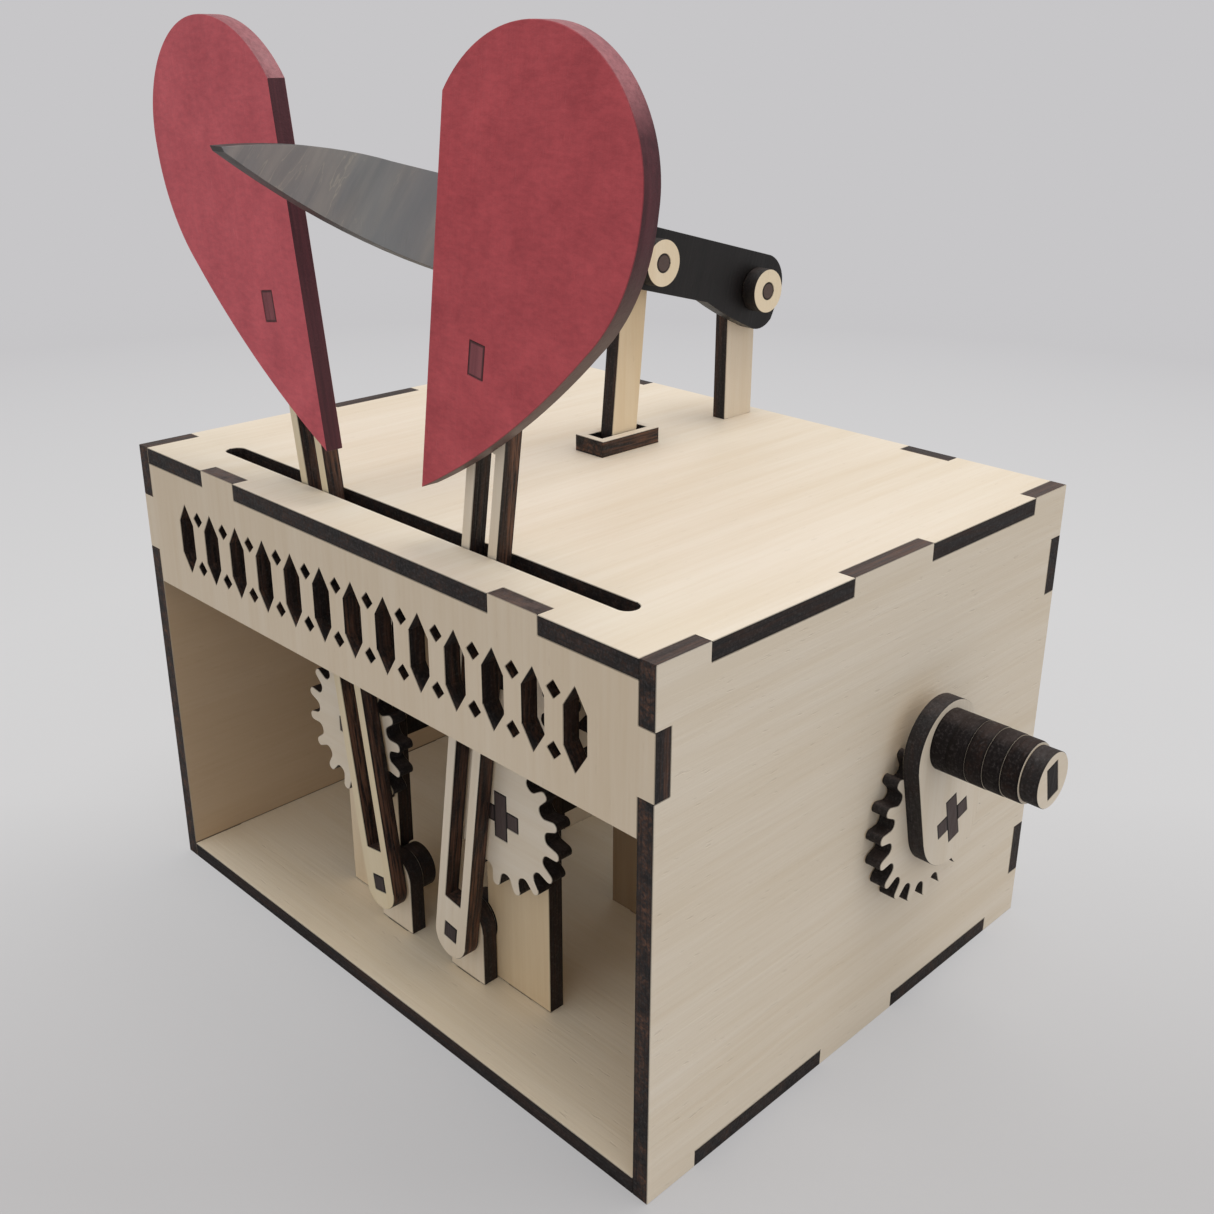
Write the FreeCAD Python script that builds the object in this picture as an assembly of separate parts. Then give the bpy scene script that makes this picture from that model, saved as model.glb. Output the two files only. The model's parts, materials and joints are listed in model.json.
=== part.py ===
import FreeCAD
import Part
import math
import os

# Hand-cranked wooden automaton: a plywood box whose crank turns a train of gears,
# lifts a toy knife on a connecting rod and swings two half hearts apart.
# Frame: origin at the centre of the base's underside, +X to the crank, -Y to the front, +Z up.
# Lengths are in millimetres and angles in degrees.

V = FreeCAD.Vector

# Box
PLY = 3.0
BOX_W = 130.0
BOX_D = 102.0
BOX_H = 86.4
FASCIA_DROP = 26.0
FINGER = 10.3
SIDE_MIDDLE_FINGER = 20.2
EDGE_FINGER_X = 38.1
BACK_FINGER_Z = 28.8
WINDOW_W = 84.0
WINDOW_H = 52.0
WINDOW_CORNER = 5.0

# Fretwork in the fascia
FRET_COUNT = 13
FRET_PITCH = 8.4
FRET_W = 4.6
FRET_H = 13.0
FRET_SIDE = 6.0
FRET_STUD = 2.0
FRET_STUD_Z = 4.6

# Places of the mechanism
MECH_X = -1.0
ARM_INSET = 9.15
SHAFT_OFFSET = 20.3
SHAFT_DROP = 46.9
CRANK_INSET = 37.55
PIVOT_OFFSET = 10.2
PIVOT_Z = 13.6

# Clearances between pieces that move past each other
FACE_GAP = 0.2
LAYER_GAP = 0.45
SLOT_GAP = 0.3
SHAFT_PLAY = 0.06

# Gears
GEAR_TEETH = 16
PITCH_R = 12.45
ADDENDUM = 1.4
DEDENDUM = 1.8
TOOTH_HALF = 0.96
FLANK_ANGLE = 6.5
TIP_ROUND = 0.45
FRONT_PHASE = -7.0
MESH_DEPTH = 1.6
OUTER_TEETH = 20
OUTER_PITCH_R = 14.5
OUTER_PHASE = 14.3

# Shafts and pegs
SLAT_W = 8.6
PEG = 3.2
PIN_R = 1.65
SMALL_WASHER_R = 4.2
PIN_WASHER_R = 4.1
KEEPER = 6.6
SHAFT_WASHER_R = 8.0

# Stands inside the box
STAND_HALF = 7.8
STAND_CORNER = 3.2
PIVOT_STAND_W = 9.0
BEARING_HALF = 8.0
BEARING_OFFSET = 12.0
FOOT_W = 6.0

# Arms and heart halves; the heart's outline is given from the closed heart's middle line,
# and every height that ends in ABOVE or belongs to the heart is from the box's top when closed
ARM_W = 8.0
ARM_TAIL = 1.1
ARM_SLOT_W = 4.1
ARM_SLOT_START = 6.8
ARM_SLOT_ABOVE = 17.2
ARM_ABOVE = 39.2
ARM_REST = 8.6
HEART_TIP = 8.0
HEART_NOTCH = 64.3
HEART_TOP = (19.0, 75.8)
HEART_SIDE = (37.4, 57.7)
HEART_HIP = (30.8, 38.3)
HEART_KEY_ABOVE = 31.0
KEY_W = 3.2
KEY_H = 5.0
ARM_PASSAGE = 102.5
DRIVE_PEG_AT = 8.0

# Crank
CRANK_LEAN = 14.1
CRANK_REACH = 16.6
CRANK_FOOT_R = 8.3
CRANK_HEAD_AT = 14.6
CRANK_HEAD_R = 8.2
HANDLE_R = 5.15
HANDLE_DISCS = 5
HANDLE_END_R = 4.55
HANDLE_PEG_H = 5.8
THROW = 6.5
THROW_LEAN = 75.0
WEB_R = 10.5

# Knife: its outline is given from the rear pin, ahead along the blade and up
KNIFE_PIN_INSET = 7.4
KNIFE_PIN_ABOVE = 25.6
KNIFE_TILT = 14.3
KNIFE_PIN_SPACING = 30.2
KNIFE_PIN_RISE = 0.9
KNIFE_LENGTH = 114.0
KNIFE_TOP = 6.8
SPINE_DROP = 3.4
SPINE_FALL = 27.0
POINT_DEPTH = 0.6
POINT_BACK = 0.5
HANDLE_BOTTOM = 4.2
BOLSTER = 3.0
HEEL_AT = 50.0
HEEL_DEPTH = 8.2
BELLY = 3.0
BUTT_BACK = 8.0
BUTT_DROP = 5.6
BUTT_SLANT = 1.4
BUTT_HOOK = 7.3
GRIP_WAIST = 13.0
ROD_W = 6.3
ROD_EYE_R = 4.2
COLLAR_L = 14.5
COLLAR_W = 7.1
ROD_PASSAGE = 11.5
POST_W = 8.0

LEFT = -BOX_W / 2
RIGHT = BOX_W / 2
FRONT = -BOX_D / 2
BACK = BOX_D / 2
TIP_R = PITCH_R + ADDENDUM
SLAT_CORNER_R = math.hypot(SLAT_W / 2, PLY / 2)
SHAFT_HOLE_R = SLAT_CORNER_R + SHAFT_PLAY
PEG_HOLE_R = PEG * math.sqrt(0.5) + SHAFT_PLAY
PIN_HOLE_R = PIN_R + SHAFT_PLAY

SHAFT_Z = BOX_H - SHAFT_DROP
ARM_Y = FRONT + ARM_INSET
HEART_Y = ARM_Y - PLY
GEAR_Y = ARM_Y + PLY + LAYER_GAP
FRONT_STAND_Y = GEAR_Y + PLY + FACE_GAP
PIVOT_WASHER_Y = GEAR_Y + PLY + FACE_GAP / 2
UPPER_WASHER_Y = FRONT_STAND_Y + PLY + FACE_GAP / 2
CRANK_Y = BACK - CRANK_INSET
CRANK_Z = SHAFT_Z
REAR_GEAR_Y = CRANK_Y - TIP_R + MESH_DEPTH - PLY
REAR_STAND_Y = REAR_GEAR_Y - FACE_GAP - PLY
UPPER_Z = SHAFT_Z + 2 * PITCH_R
SHAFT_X = MECH_X + SHAFT_OFFSET
PIVOT_X = MECH_X + PIVOT_OFFSET

KNIFE_PIN_Y = BACK - KNIFE_PIN_INSET
KNIFE_PIN_Z = BOX_H + KNIFE_PIN_ABOVE
TOP_FROM_PIVOT = BOX_H - PIVOT_Z
DRIVE_GEAR_X = SHAFT_X - TIP_R + MESH_DEPTH - PLY
KNIFE_X = MECH_X - PLY / 2
ROD_X = KNIFE_X - FACE_GAP - PLY
WEB_X = ROD_X + PLY + SLOT_GAP
OUTER_GEAR_X = RIGHT + FACE_GAP
CRANK_ARM_X = OUTER_GEAR_X + PLY
HANDLE_X = CRANK_ARM_X + PLY
PITCH_ANGLE = 360.0 / GEAR_TEETH


def turned(point, degrees):
    """A flat point turned anticlockwise about the origin."""
    angle = math.radians(degrees)
    x, y = point
    return (x * math.cos(angle) - y * math.sin(angle), x * math.sin(angle) + y * math.cos(angle))


def shifted(point, by):
    return (point[0] + by[0], point[1] + by[1])


def outline(start, *steps):
    """A flat face; a step is the end of a line, or the middle and end of an arc."""
    edges = []
    here = start
    for step in steps:
        if isinstance(step[0], tuple):
            middle, end = step
            edges.append(Part.Arc(V(*here), V(*middle), V(*end)).toShape())
        else:
            end = step
            edges.append(Part.makeLine(V(*here), V(*end)))
        here = end
    return Part.Face(Part.Wire(edges))


def disc(centre, radius):
    return Part.Face(Part.Wire(Part.makeCircle(radius, V(*centre))))


def rectangle(centre, width, height, degrees=0.0):
    corners = ((-1, -1), (1, -1), (1, 1), (-1, 1))
    points = [shifted(turned((a * width / 2, b * height / 2), degrees), centre) for a, b in corners]
    return outline(points[0], *points[1:], points[0])


def link(first, first_r, second, second_r):
    """The outline that a belt round two circles has, as a rounded bar."""
    along = (second[0] - first[0], second[1] - first[1])
    length = math.hypot(*along)
    heading = math.degrees(math.atan2(along[1], along[0]))
    side = math.degrees(math.acos((first_r - second_r) / length))
    a = shifted(turned((first_r, 0), heading + side), first)
    b = shifted(turned((first_r, 0), heading - side), first)
    c = shifted(turned((second_r, 0), heading - side), second)
    d = shifted(turned((second_r, 0), heading + side), second)
    foot = shifted(turned((-first_r, 0), heading), first)
    head = shifted(turned((second_r, 0), heading), second)
    return outline(a, (foot, b), c, (head, d), a)


def slab(face, thickness=PLY):
    return face.extrude(V(0, 0, thickness))


def in_xz(shape, y, thickness=PLY):
    """Stand a flat piece up so that its outline reads X, Z and it fills y to y + thickness."""
    piece = shape.copy()
    stood = FreeCAD.Placement(V(0, y + thickness, 0), FreeCAD.Rotation(V(1, 0, 0), 90))
    piece.Placement = stood.multiply(piece.Placement)
    return piece


def in_yz(shape, x):
    """Stand a flat piece up so that its outline reads Y, Z and it starts at x."""
    piece = shape.copy()
    stood = FreeCAD.Placement(V(x, 0, 0), FreeCAD.Rotation(V(1, 1, 1), 120))
    piece.Placement = stood.multiply(piece.Placement)
    return piece


def block(x0, x1, y0, y1, z0, z1):
    return Part.makeBox(x1 - x0, y1 - y0, z1 - z0, V(x0, y0, z0))


def mirrored(shape):
    return shape.mirror(V(MECH_X, 0, 0), V(1, 0, 0))


def side_fingers(z0):
    """The fingers by which the base and the top plate cross both side panels."""
    middle = SIDE_MIDDLE_FINGER / 2
    spans = ((FRONT + FINGER, -middle), (middle, BACK - FINGER))
    return [block(LEFT, RIGHT, y0, y1, z0, z0 + PLY) for y0, y1 in spans]


def edge_fingers(y0, z0):
    """The pair of fingers that a front or back board pushes into the plate above or below."""
    centres = (-EDGE_FINGER_X, EDGE_FINGER_X)
    return [block(x - FINGER / 2, x + FINGER / 2, y0, y0 + PLY, z0, z0 + PLY) for x in centres]


def wall_fingers(y0, centres):
    """The fingers by which a front or back board crosses both side panels."""
    return [block(LEFT, RIGHT, y0, y0 + PLY, z - FINGER / 2, z + FINGER / 2) for z in centres]


FASCIA_MIDDLE_Z = BOX_H - (FASCIA_DROP + PLY) / 2
BACK_MIDDLE_Z = BOX_H / 2
TOP_Z = BOX_H - PLY
FASCIA_TOP_FINGERS = edge_fingers(FRONT, TOP_Z)
BACK_TOP_FINGERS = edge_fingers(BACK - PLY, TOP_Z)
BACK_BOTTOM_FINGERS = edge_fingers(BACK - PLY, 0)
FASCIA_WALL_FINGERS = wall_fingers(FRONT, [FASCIA_MIDDLE_Z])
BACK_WALL_FINGERS = wall_fingers(
    BACK - PLY, [BACK_MIDDLE_Z - BACK_FINGER_Z, BACK_MIDDLE_Z + BACK_FINGER_Z])


def foot(x, y, along_x=True):
    """The tongue that a standing board pushes through the base."""
    if along_x:
        return block(x - FOOT_W / 2, x + FOOT_W / 2, y, y + PLY, 0, PLY)
    return block(x, x + PLY, y - FOOT_W / 2, y + FOOT_W / 2, 0, PLY)


def clipped_board(middle, half, top):
    """The outline of a standing board whose two top corners are cut off."""
    corner = STAND_CORNER
    return outline(
        (middle - half, PLY), (middle + half, PLY), (middle + half, top - corner),
        (middle + half - corner, top), (middle - half + corner, top),
        (middle - half, top - corner), (middle - half, PLY))


def round_board(middle, half, centre_z):
    """The outline of a standing board with a round top about its hole."""
    return outline(
        (middle - half, PLY), (middle + half, PLY), (middle + half, centre_z),
        ((middle, centre_z + half), (middle - half, centre_z)), (middle - half, PLY))


def cross_board(face, x, y, hole_z, hole_r):
    """A board across the box on its tongue, with a bearing hole."""
    board = in_xz(slab(face), y).fuse(foot(x, y))
    hole = in_xz(slab(disc((x, hole_z), hole_r)), y)
    return board.cut(hole).removeSplitter()


def front_stand():
    """The tall board that carries the lower gear's shaft and, near its top, the upper gear."""
    face = clipped_board(SHAFT_X, STAND_HALF, UPPER_Z + STAND_HALF)
    board = cross_board(face, SHAFT_X, FRONT_STAND_Y, UPPER_Z, PEG_HOLE_R)
    shaft_hole = in_xz(slab(disc((SHAFT_X, SHAFT_Z), SHAFT_HOLE_R)), FRONT_STAND_Y)
    relief = in_xz(slab(disc((PIVOT_X, PIVOT_Z), SMALL_WASHER_R + SLOT_GAP)), FRONT_STAND_Y)
    return board.cut([shaft_hole, relief])


def rear_stand():
    face = clipped_board(SHAFT_X, STAND_HALF, SHAFT_Z + STAND_HALF)
    return cross_board(face, SHAFT_X, REAR_STAND_Y, SHAFT_Z, SHAFT_HOLE_R)


def pivot_stand():
    face = round_board(PIVOT_X, PIVOT_STAND_W / 2, PIVOT_Z)
    return cross_board(face, PIVOT_X, GEAR_Y, PIVOT_Z, PEG_HOLE_R)


def shaft_bearing():
    """A board along the box that holds the inner end of one half of the crankshaft."""
    x = MECH_X + BEARING_OFFSET
    face = clipped_board(CRANK_Y, BEARING_HALF, CRANK_Z + BEARING_HALF)
    board = in_yz(slab(face), x).fuse(foot(x, CRANK_Y, along_x=False))
    return board.cut(in_yz(slab(disc((CRANK_Y, CRANK_Z), SHAFT_HOLE_R)), x)).removeSplitter()


def post_tongue():
    return block(ROD_X, ROD_X + PLY, KNIFE_PIN_Y - FOOT_W / 2, KNIFE_PIN_Y + FOOT_W / 2, TOP_Z, BOX_H)


def rear_knife_post():
    half = POST_W / 2
    y = KNIFE_PIN_Y
    face = outline(
        (y - half, BOX_H), (y + half, BOX_H), (y + half, KNIFE_PIN_Z),
        ((y, KNIFE_PIN_Z + half), (y - half, KNIFE_PIN_Z)), (y - half, BOX_H))
    post = in_yz(slab(face), ROD_X).fuse(post_tongue())
    return post.cut(in_yz(slab(disc((y, KNIFE_PIN_Z), PIN_R)), ROD_X)).removeSplitter()


def rod_passage(z0, z1):
    """The long hole through which the connecting rod rises and rocks."""
    middle_y = crank_pin()[0] + (knife_front_pin()[0] - crank_pin()[0]) * (
        (BOX_H - crank_pin()[1]) / (knife_front_pin()[1] - crank_pin()[1]))
    half = ROD_PASSAGE / 2
    return block(ROD_X - SLOT_GAP, ROD_X + PLY + SLOT_GAP, middle_y - half, middle_y + half, z0, z1)


def knife_guide_collar():
    passage = rod_passage(BOX_H, BOX_H + PLY)
    middle = passage.BoundBox.Center
    ring = block(
        middle.x - COLLAR_W / 2, middle.x + COLLAR_W / 2,
        middle.y - COLLAR_L / 2, middle.y + COLLAR_L / 2, BOX_H, BOX_H + PLY)
    return ring.cut(passage)


def base_plate():
    plate = block(LEFT + PLY, RIGHT - PLY, FRONT, BACK, 0, PLY).multiFuse(side_fingers(0))
    feet = [
        foot(SHAFT_X, FRONT_STAND_Y), foot(SHAFT_X, REAR_STAND_Y), foot(PIVOT_X, GEAR_Y),
        foot(MECH_X + BEARING_OFFSET, CRANK_Y, along_x=False)]
    slots = feet + [mirrored(tongue) for tongue in feet]
    return plate.cut(BACK_BOTTOM_FINGERS + slots).removeSplitter()


def arm_passage():
    """The long slot in the top plate that both arms swing in."""
    half = ARM_PASSAGE / 2
    radius = PLY / 2 + SLOT_GAP
    y = ARM_Y + PLY / 2
    face = link((-half + radius, y), radius, (half - radius, y), radius)
    return face.extrude(V(0, 0, PLY)).translated(V(0, 0, TOP_Z))


def top_plate():
    plate = block(LEFT + PLY, RIGHT - PLY, FRONT, BACK, TOP_Z, BOX_H).multiFuse(side_fingers(TOP_Z))
    holes = [arm_passage(), rod_passage(TOP_Z, BOX_H), post_tongue()]
    return plate.cut(FASCIA_TOP_FINGERS + BACK_TOP_FINGERS + holes).removeSplitter()


def side_panel(x0):
    panel = block(x0, x0 + PLY, FRONT, BACK, 0, BOX_H)
    crossing = side_fingers(0) + side_fingers(TOP_Z) + FASCIA_WALL_FINGERS + BACK_WALL_FINGERS
    shaft_hole = in_yz(slab(disc((CRANK_Y, CRANK_Z), SHAFT_HOLE_R)), x0)
    return panel.cut(crossing + [shaft_hole]).removeSplitter()


def fretwork():
    """A row of pointed bars with a pair of small diamonds between neighbours."""
    cuts = []
    first = -(FRET_COUNT - 1) / 2 * FRET_PITCH
    half, side, point = FRET_W / 2, FRET_SIDE / 2, FRET_H / 2
    corners = ((0, -point), (half, -side), (half, side), (0, point), (-half, side), (-half, -side))
    for index in range(FRET_COUNT):
        x = first + index * FRET_PITCH
        z = FASCIA_MIDDLE_Z
        bar = [shifted(corner, (x, z)) for corner in corners]
        cuts.append(outline(bar[0], *bar[1:], bar[0]))
        if index:
            between = x - FRET_PITCH / 2
            cuts.append(rectangle((between, z - FRET_STUD_Z), FRET_STUD, FRET_STUD, 45.0))
            cuts.append(rectangle((between, z + FRET_STUD_Z), FRET_STUD, FRET_STUD, 45.0))
    return [in_xz(slab(face), FRONT) for face in cuts]


def front_fascia():
    board = block(LEFT + PLY, RIGHT - PLY, FRONT, FRONT + PLY, BOX_H - FASCIA_DROP, TOP_Z)
    board = board.multiFuse(FASCIA_TOP_FINGERS + FASCIA_WALL_FINGERS)
    return board.cut(fretwork()).removeSplitter()


def back_panel():
    board = block(LEFT + PLY, RIGHT - PLY, BACK - PLY, BACK, PLY, TOP_Z)
    board = board.multiFuse(BACK_TOP_FINGERS + BACK_BOTTOM_FINGERS + BACK_WALL_FINGERS)
    window = block(
        -WINDOW_W / 2, WINDOW_W / 2, BACK - PLY, BACK,
        BACK_MIDDLE_Z - WINDOW_H / 2, BACK_MIDDLE_Z + WINDOW_H / 2)
    upright = [edge for edge in window.Edges if abs(edge.Vertexes[0].Y - edge.Vertexes[1].Y) > 1]
    return board.cut(window.makeFillet(WINDOW_CORNER, upright)).removeSplitter()


def gear_face(teeth, pitch_r, phase):
    """A laser-cut gear's outline: straight flanks and softened corners on every tooth."""
    tip_r = pitch_r + ADDENDUM
    root_r = pitch_r - DEDENDUM
    slope = math.tan(math.radians(FLANK_ANGLE))
    shoulder = tip_r - TIP_ROUND
    shoulder_half = TOOTH_HALF - (shoulder - pitch_r) * slope
    tip_half = shoulder_half - TIP_ROUND
    foot_half = TOOTH_HALF + (pitch_r - root_r) * slope
    steps = []
    for index in range(teeth):
        heading = phase + index * 360.0 / teeth
        corners = ((root_r, -foot_half), (shoulder, -shoulder_half), (tip_r, -tip_half),
                   (tip_r, tip_half), (shoulder, shoulder_half), (root_r, foot_half))
        steps += [turned(point, heading) for point in corners]
    return outline(steps[0], *steps[1:], steps[0])


def cross_face(degrees=0.0):
    """The plus-shaped hole that fits a shaft of two crossed slats."""
    return [rectangle((0, 0), SLAT_W, PLY, degrees), rectangle((0, 0), PLY, SLAT_W, degrees)]


def keyed_gear(teeth, pitch_r, phase, roll=0.0):
    """A gear with a hole for the crossed slats."""
    return slab(gear_face(teeth, pitch_r, phase)).cut([slab(face) for face in cross_face(roll)])


def crossed_slats(length, roll=0.0):
    """Two slats, each slotted for half its length, pushed together into a plus-shaped shaft."""
    half_w = SLAT_W / 2
    half_t = PLY / 2
    first = block(-half_w, half_w, -half_t, half_t, 0, length)
    first = first.cut(block(-half_t, half_t, -half_t, half_t, length / 2, length))
    second = block(-half_t, half_t, -half_w, half_w, 0, length)
    second = second.cut(block(-half_t, half_t, -half_t, half_t, 0, length / 2))
    pair = Part.makeCompound([first, second])
    pair.rotate(V(0, 0, 0), V(0, 0, 1), roll)
    return pair


def moved(shape, x=0.0, y=0.0, z=0.0):
    return shape.translated(V(x, y, z))


def gear_train():
    """The lower gear with its shaft and rear gear, and the upper gear that it drives."""
    pieces = {}
    shaft_length = REAR_GEAR_Y + PLY - GEAR_Y
    front = keyed_gear(GEAR_TEETH, PITCH_R, FRONT_PHASE)
    rear = keyed_gear(GEAR_TEETH, PITCH_R, 0.0)
    slats = crossed_slats(shaft_length)
    pieces["front_gear"] = moved(in_xz(front, GEAR_Y), x=SHAFT_X, z=SHAFT_Z)
    pieces["rear_gear"] = moved(in_xz(rear, REAR_GEAR_Y), x=SHAFT_X, z=SHAFT_Z)
    pieces["gear_shaft"] = moved(in_xz(slats, GEAR_Y, shaft_length), x=SHAFT_X, z=SHAFT_Z)

    peg_length = UPPER_WASHER_Y + PLY - GEAR_Y
    square = rectangle((SHAFT_X, UPPER_Z), PEG, PEG)
    drive_square = rectangle(drive_peg_place(), PEG, PEG)
    upper_phase = -FRONT_PHASE + PITCH_ANGLE / 2
    upper = slab(gear_face(GEAR_TEETH, PITCH_R, upper_phase)).translated(V(SHAFT_X, UPPER_Z, 0))
    upper = upper.cut([slab(square), slab(drive_square)])
    washer = slab(rectangle((SHAFT_X, UPPER_Z), KEEPER, KEEPER)).cut(slab(square))
    pieces["upper_gear"] = in_xz(upper, GEAR_Y)
    pieces["upper_gear_shaft"] = in_xz(slab(square, peg_length), GEAR_Y, peg_length)
    pieces["upper_gear_washer"] = in_xz(washer, UPPER_WASHER_Y)
    pieces["drive_peg"] = in_xz(slab(drive_square), GEAR_Y)
    return pieces


def drive_peg_place():
    """The point on the upper gear that stands in line with the arm's slot at rest."""
    heading = (math.sin(math.radians(ARM_REST)), math.cos(math.radians(ARM_REST)))
    to_gear = (SHAFT_X - PIVOT_X, UPPER_Z - PIVOT_Z)
    along = to_gear[0] * heading[0] + to_gear[1] * heading[1]
    aside = to_gear[0] * heading[1] - to_gear[1] * heading[0]
    reach = along - math.sqrt(DRIVE_PEG_AT ** 2 - aside ** 2)
    return (PIVOT_X + heading[0] * reach, PIVOT_Z + heading[1] * reach)


def leaned(face):
    """An upright arm piece swung out to where it rests."""
    piece = face.copy()
    piece.rotate(V(PIVOT_X, PIVOT_Z, 0), V(0, 0, 1), -ARM_REST)
    return piece


def heart_half():
    """Half a heart: a straight inner edge, a round lobe and a swelling lower side."""
    def place(point):
        return (MECH_X + point[0], BOX_H + point[1])

    tip = (0.0, HEART_TIP)
    notch = (0.0, HEART_NOTCH)
    rise = (0.36 * HEART_TOP[0], 0.35 * HEART_NOTCH + 0.65 * HEART_TOP[1])
    shoulder = (HEART_TOP[0] + 0.73 * (HEART_SIDE[0] - HEART_TOP[0]),
                HEART_SIDE[1] + 0.70 * (HEART_TOP[1] - HEART_SIDE[1]))
    flank = (HEART_HIP[0] + 0.77 * (HEART_SIDE[0] - HEART_HIP[0]),
             HEART_HIP[1] + 0.47 * (HEART_SIDE[1] - HEART_HIP[1]))
    keel = (0.55 * HEART_HIP[0], HEART_TIP + 0.475 * (HEART_HIP[1] - HEART_TIP))
    points = [place(p) for p in (tip, notch, rise, HEART_TOP, shoulder, HEART_SIDE, flank, HEART_HIP, keel)]
    tip, notch, rise, top, shoulder, side, flank, hip, keel = points
    return outline(tip, notch, (rise, top), (shoulder, side), (flank, hip), (keel, tip))


def heart_arm():
    """A slotted arm with its pivot near the foot, and what it carries."""
    pieces = {}
    foot_at = (PIVOT_X, PIVOT_Z)
    tail = (PIVOT_X, PIVOT_Z - ARM_TAIL)
    end = (PIVOT_X, BOX_H + ARM_ABOVE - ARM_W / 2)
    slot_length = TOP_FROM_PIVOT + ARM_SLOT_ABOVE - ARM_SLOT_START
    slot_middle = (PIVOT_X, PIVOT_Z + ARM_SLOT_START + slot_length / 2)
    peg = rectangle(foot_at, PEG, PEG)
    key = rectangle((PIVOT_X, BOX_H + HEART_KEY_ABOVE), KEY_W, KEY_H)
    slot = rectangle(slot_middle, ARM_SLOT_W, slot_length)
    arm = link(tail, ARM_W / 2, end, ARM_W / 2).cut([peg, key, slot])
    heart = heart_half().cut(key)
    washer = disc(foot_at, SMALL_WASHER_R).cut(peg)
    peg_length = PIVOT_WASHER_Y + PLY - ARM_Y
    pieces["heart_arm"] = in_xz(slab(leaned(arm)), ARM_Y)
    pieces["heart_half"] = in_xz(slab(leaned(heart)), HEART_Y)
    pieces["heart_key"] = in_xz(slab(leaned(key), 2 * PLY), HEART_Y, 2 * PLY)
    pieces["arm_pivot_peg"] = in_xz(slab(leaned(peg), peg_length), ARM_Y, peg_length)
    pieces["arm_pivot_washer"] = in_xz(slab(leaned(washer)), PIVOT_WASHER_Y)
    return pieces


def crank_pin():
    return shifted((CRANK_Y, CRANK_Z), turned((0, THROW), THROW_LEAN))


def knife_front_pin():
    ahead = turned((-KNIFE_PIN_SPACING, KNIFE_PIN_RISE), -KNIFE_TILT)
    return shifted((KNIFE_PIN_Y, KNIFE_PIN_Z), ahead)


def on_crank(piece, x):
    """Place a piece drawn about the crank's axis at its station along the shaft."""
    return moved(in_yz(piece, x), y=CRANK_Y, z=CRANK_Z)


def crank():
    """Both halves of the crankshaft with everything that turns on them."""
    pieces = {}
    pin_hole = slab(disc(turned((0, THROW), THROW_LEAN), PIN_R))
    half_tooth = PITCH_ANGLE / 2
    drive = keyed_gear(GEAR_TEETH, PITCH_R, half_tooth, CRANK_LEAN)
    left_gear_x = 2 * MECH_X - DRIVE_GEAR_X - PLY
    pieces["right_drive_gear"] = on_crank(drive, DRIVE_GEAR_X)
    pieces["left_drive_gear"] = on_crank(drive.cut(pin_hole), left_gear_x)
    web = slab(disc((0, 0), WEB_R)).cut([slab(face) for face in cross_face(CRANK_LEAN)] + [pin_hole])
    pieces["crank_web"] = on_crank(web, WEB_X)
    pieces["right_crank_shaft"] = on_crank(crossed_slats(HANDLE_X - WEB_X, CRANK_LEAN), WEB_X)
    pieces["left_crank_shaft"] = on_crank(
        crossed_slats(left_gear_x + PLY - LEFT, CRANK_LEAN), LEFT)
    washer = slab(disc((0, 0), SHAFT_WASHER_R)).cut([slab(face) for face in cross_face(CRANK_LEAN)])
    pieces["left_shaft_washer"] = on_crank(washer, LEFT + PLY + FACE_GAP)
    outer = keyed_gear(OUTER_TEETH, OUTER_PITCH_R, OUTER_PHASE, CRANK_LEAN)
    pieces["outer_gear"] = on_crank(outer, OUTER_GEAR_X)

    grip_at = turned((0, CRANK_REACH), CRANK_LEAN)
    peg = rectangle(grip_at, PLY, HANDLE_PEG_H, CRANK_LEAN)
    head_at = turned((0, CRANK_HEAD_AT), CRANK_LEAN)
    arm = slab(link((0, 0), CRANK_FOOT_R, head_at, CRANK_HEAD_R).cut(cross_face(CRANK_LEAN) + [peg]))
    pieces["crank_arm"] = on_crank(arm, CRANK_ARM_X)
    grip = slab(disc(grip_at, HANDLE_R).cut(peg))
    stack = [on_crank(grip, HANDLE_X + index * PLY) for index in range(HANDLE_DISCS)]
    pieces["handle_discs"] = Part.makeCompound(stack)
    end_x = HANDLE_X + HANDLE_DISCS * PLY
    pieces["handle_end_disc"] = on_crank(slab(disc(grip_at, HANDLE_END_R).cut(peg)), end_x)
    pieces["handle_peg"] = on_crank(slab(peg, end_x + PLY - CRANK_ARM_X), CRANK_ARM_X)
    return pieces


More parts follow.
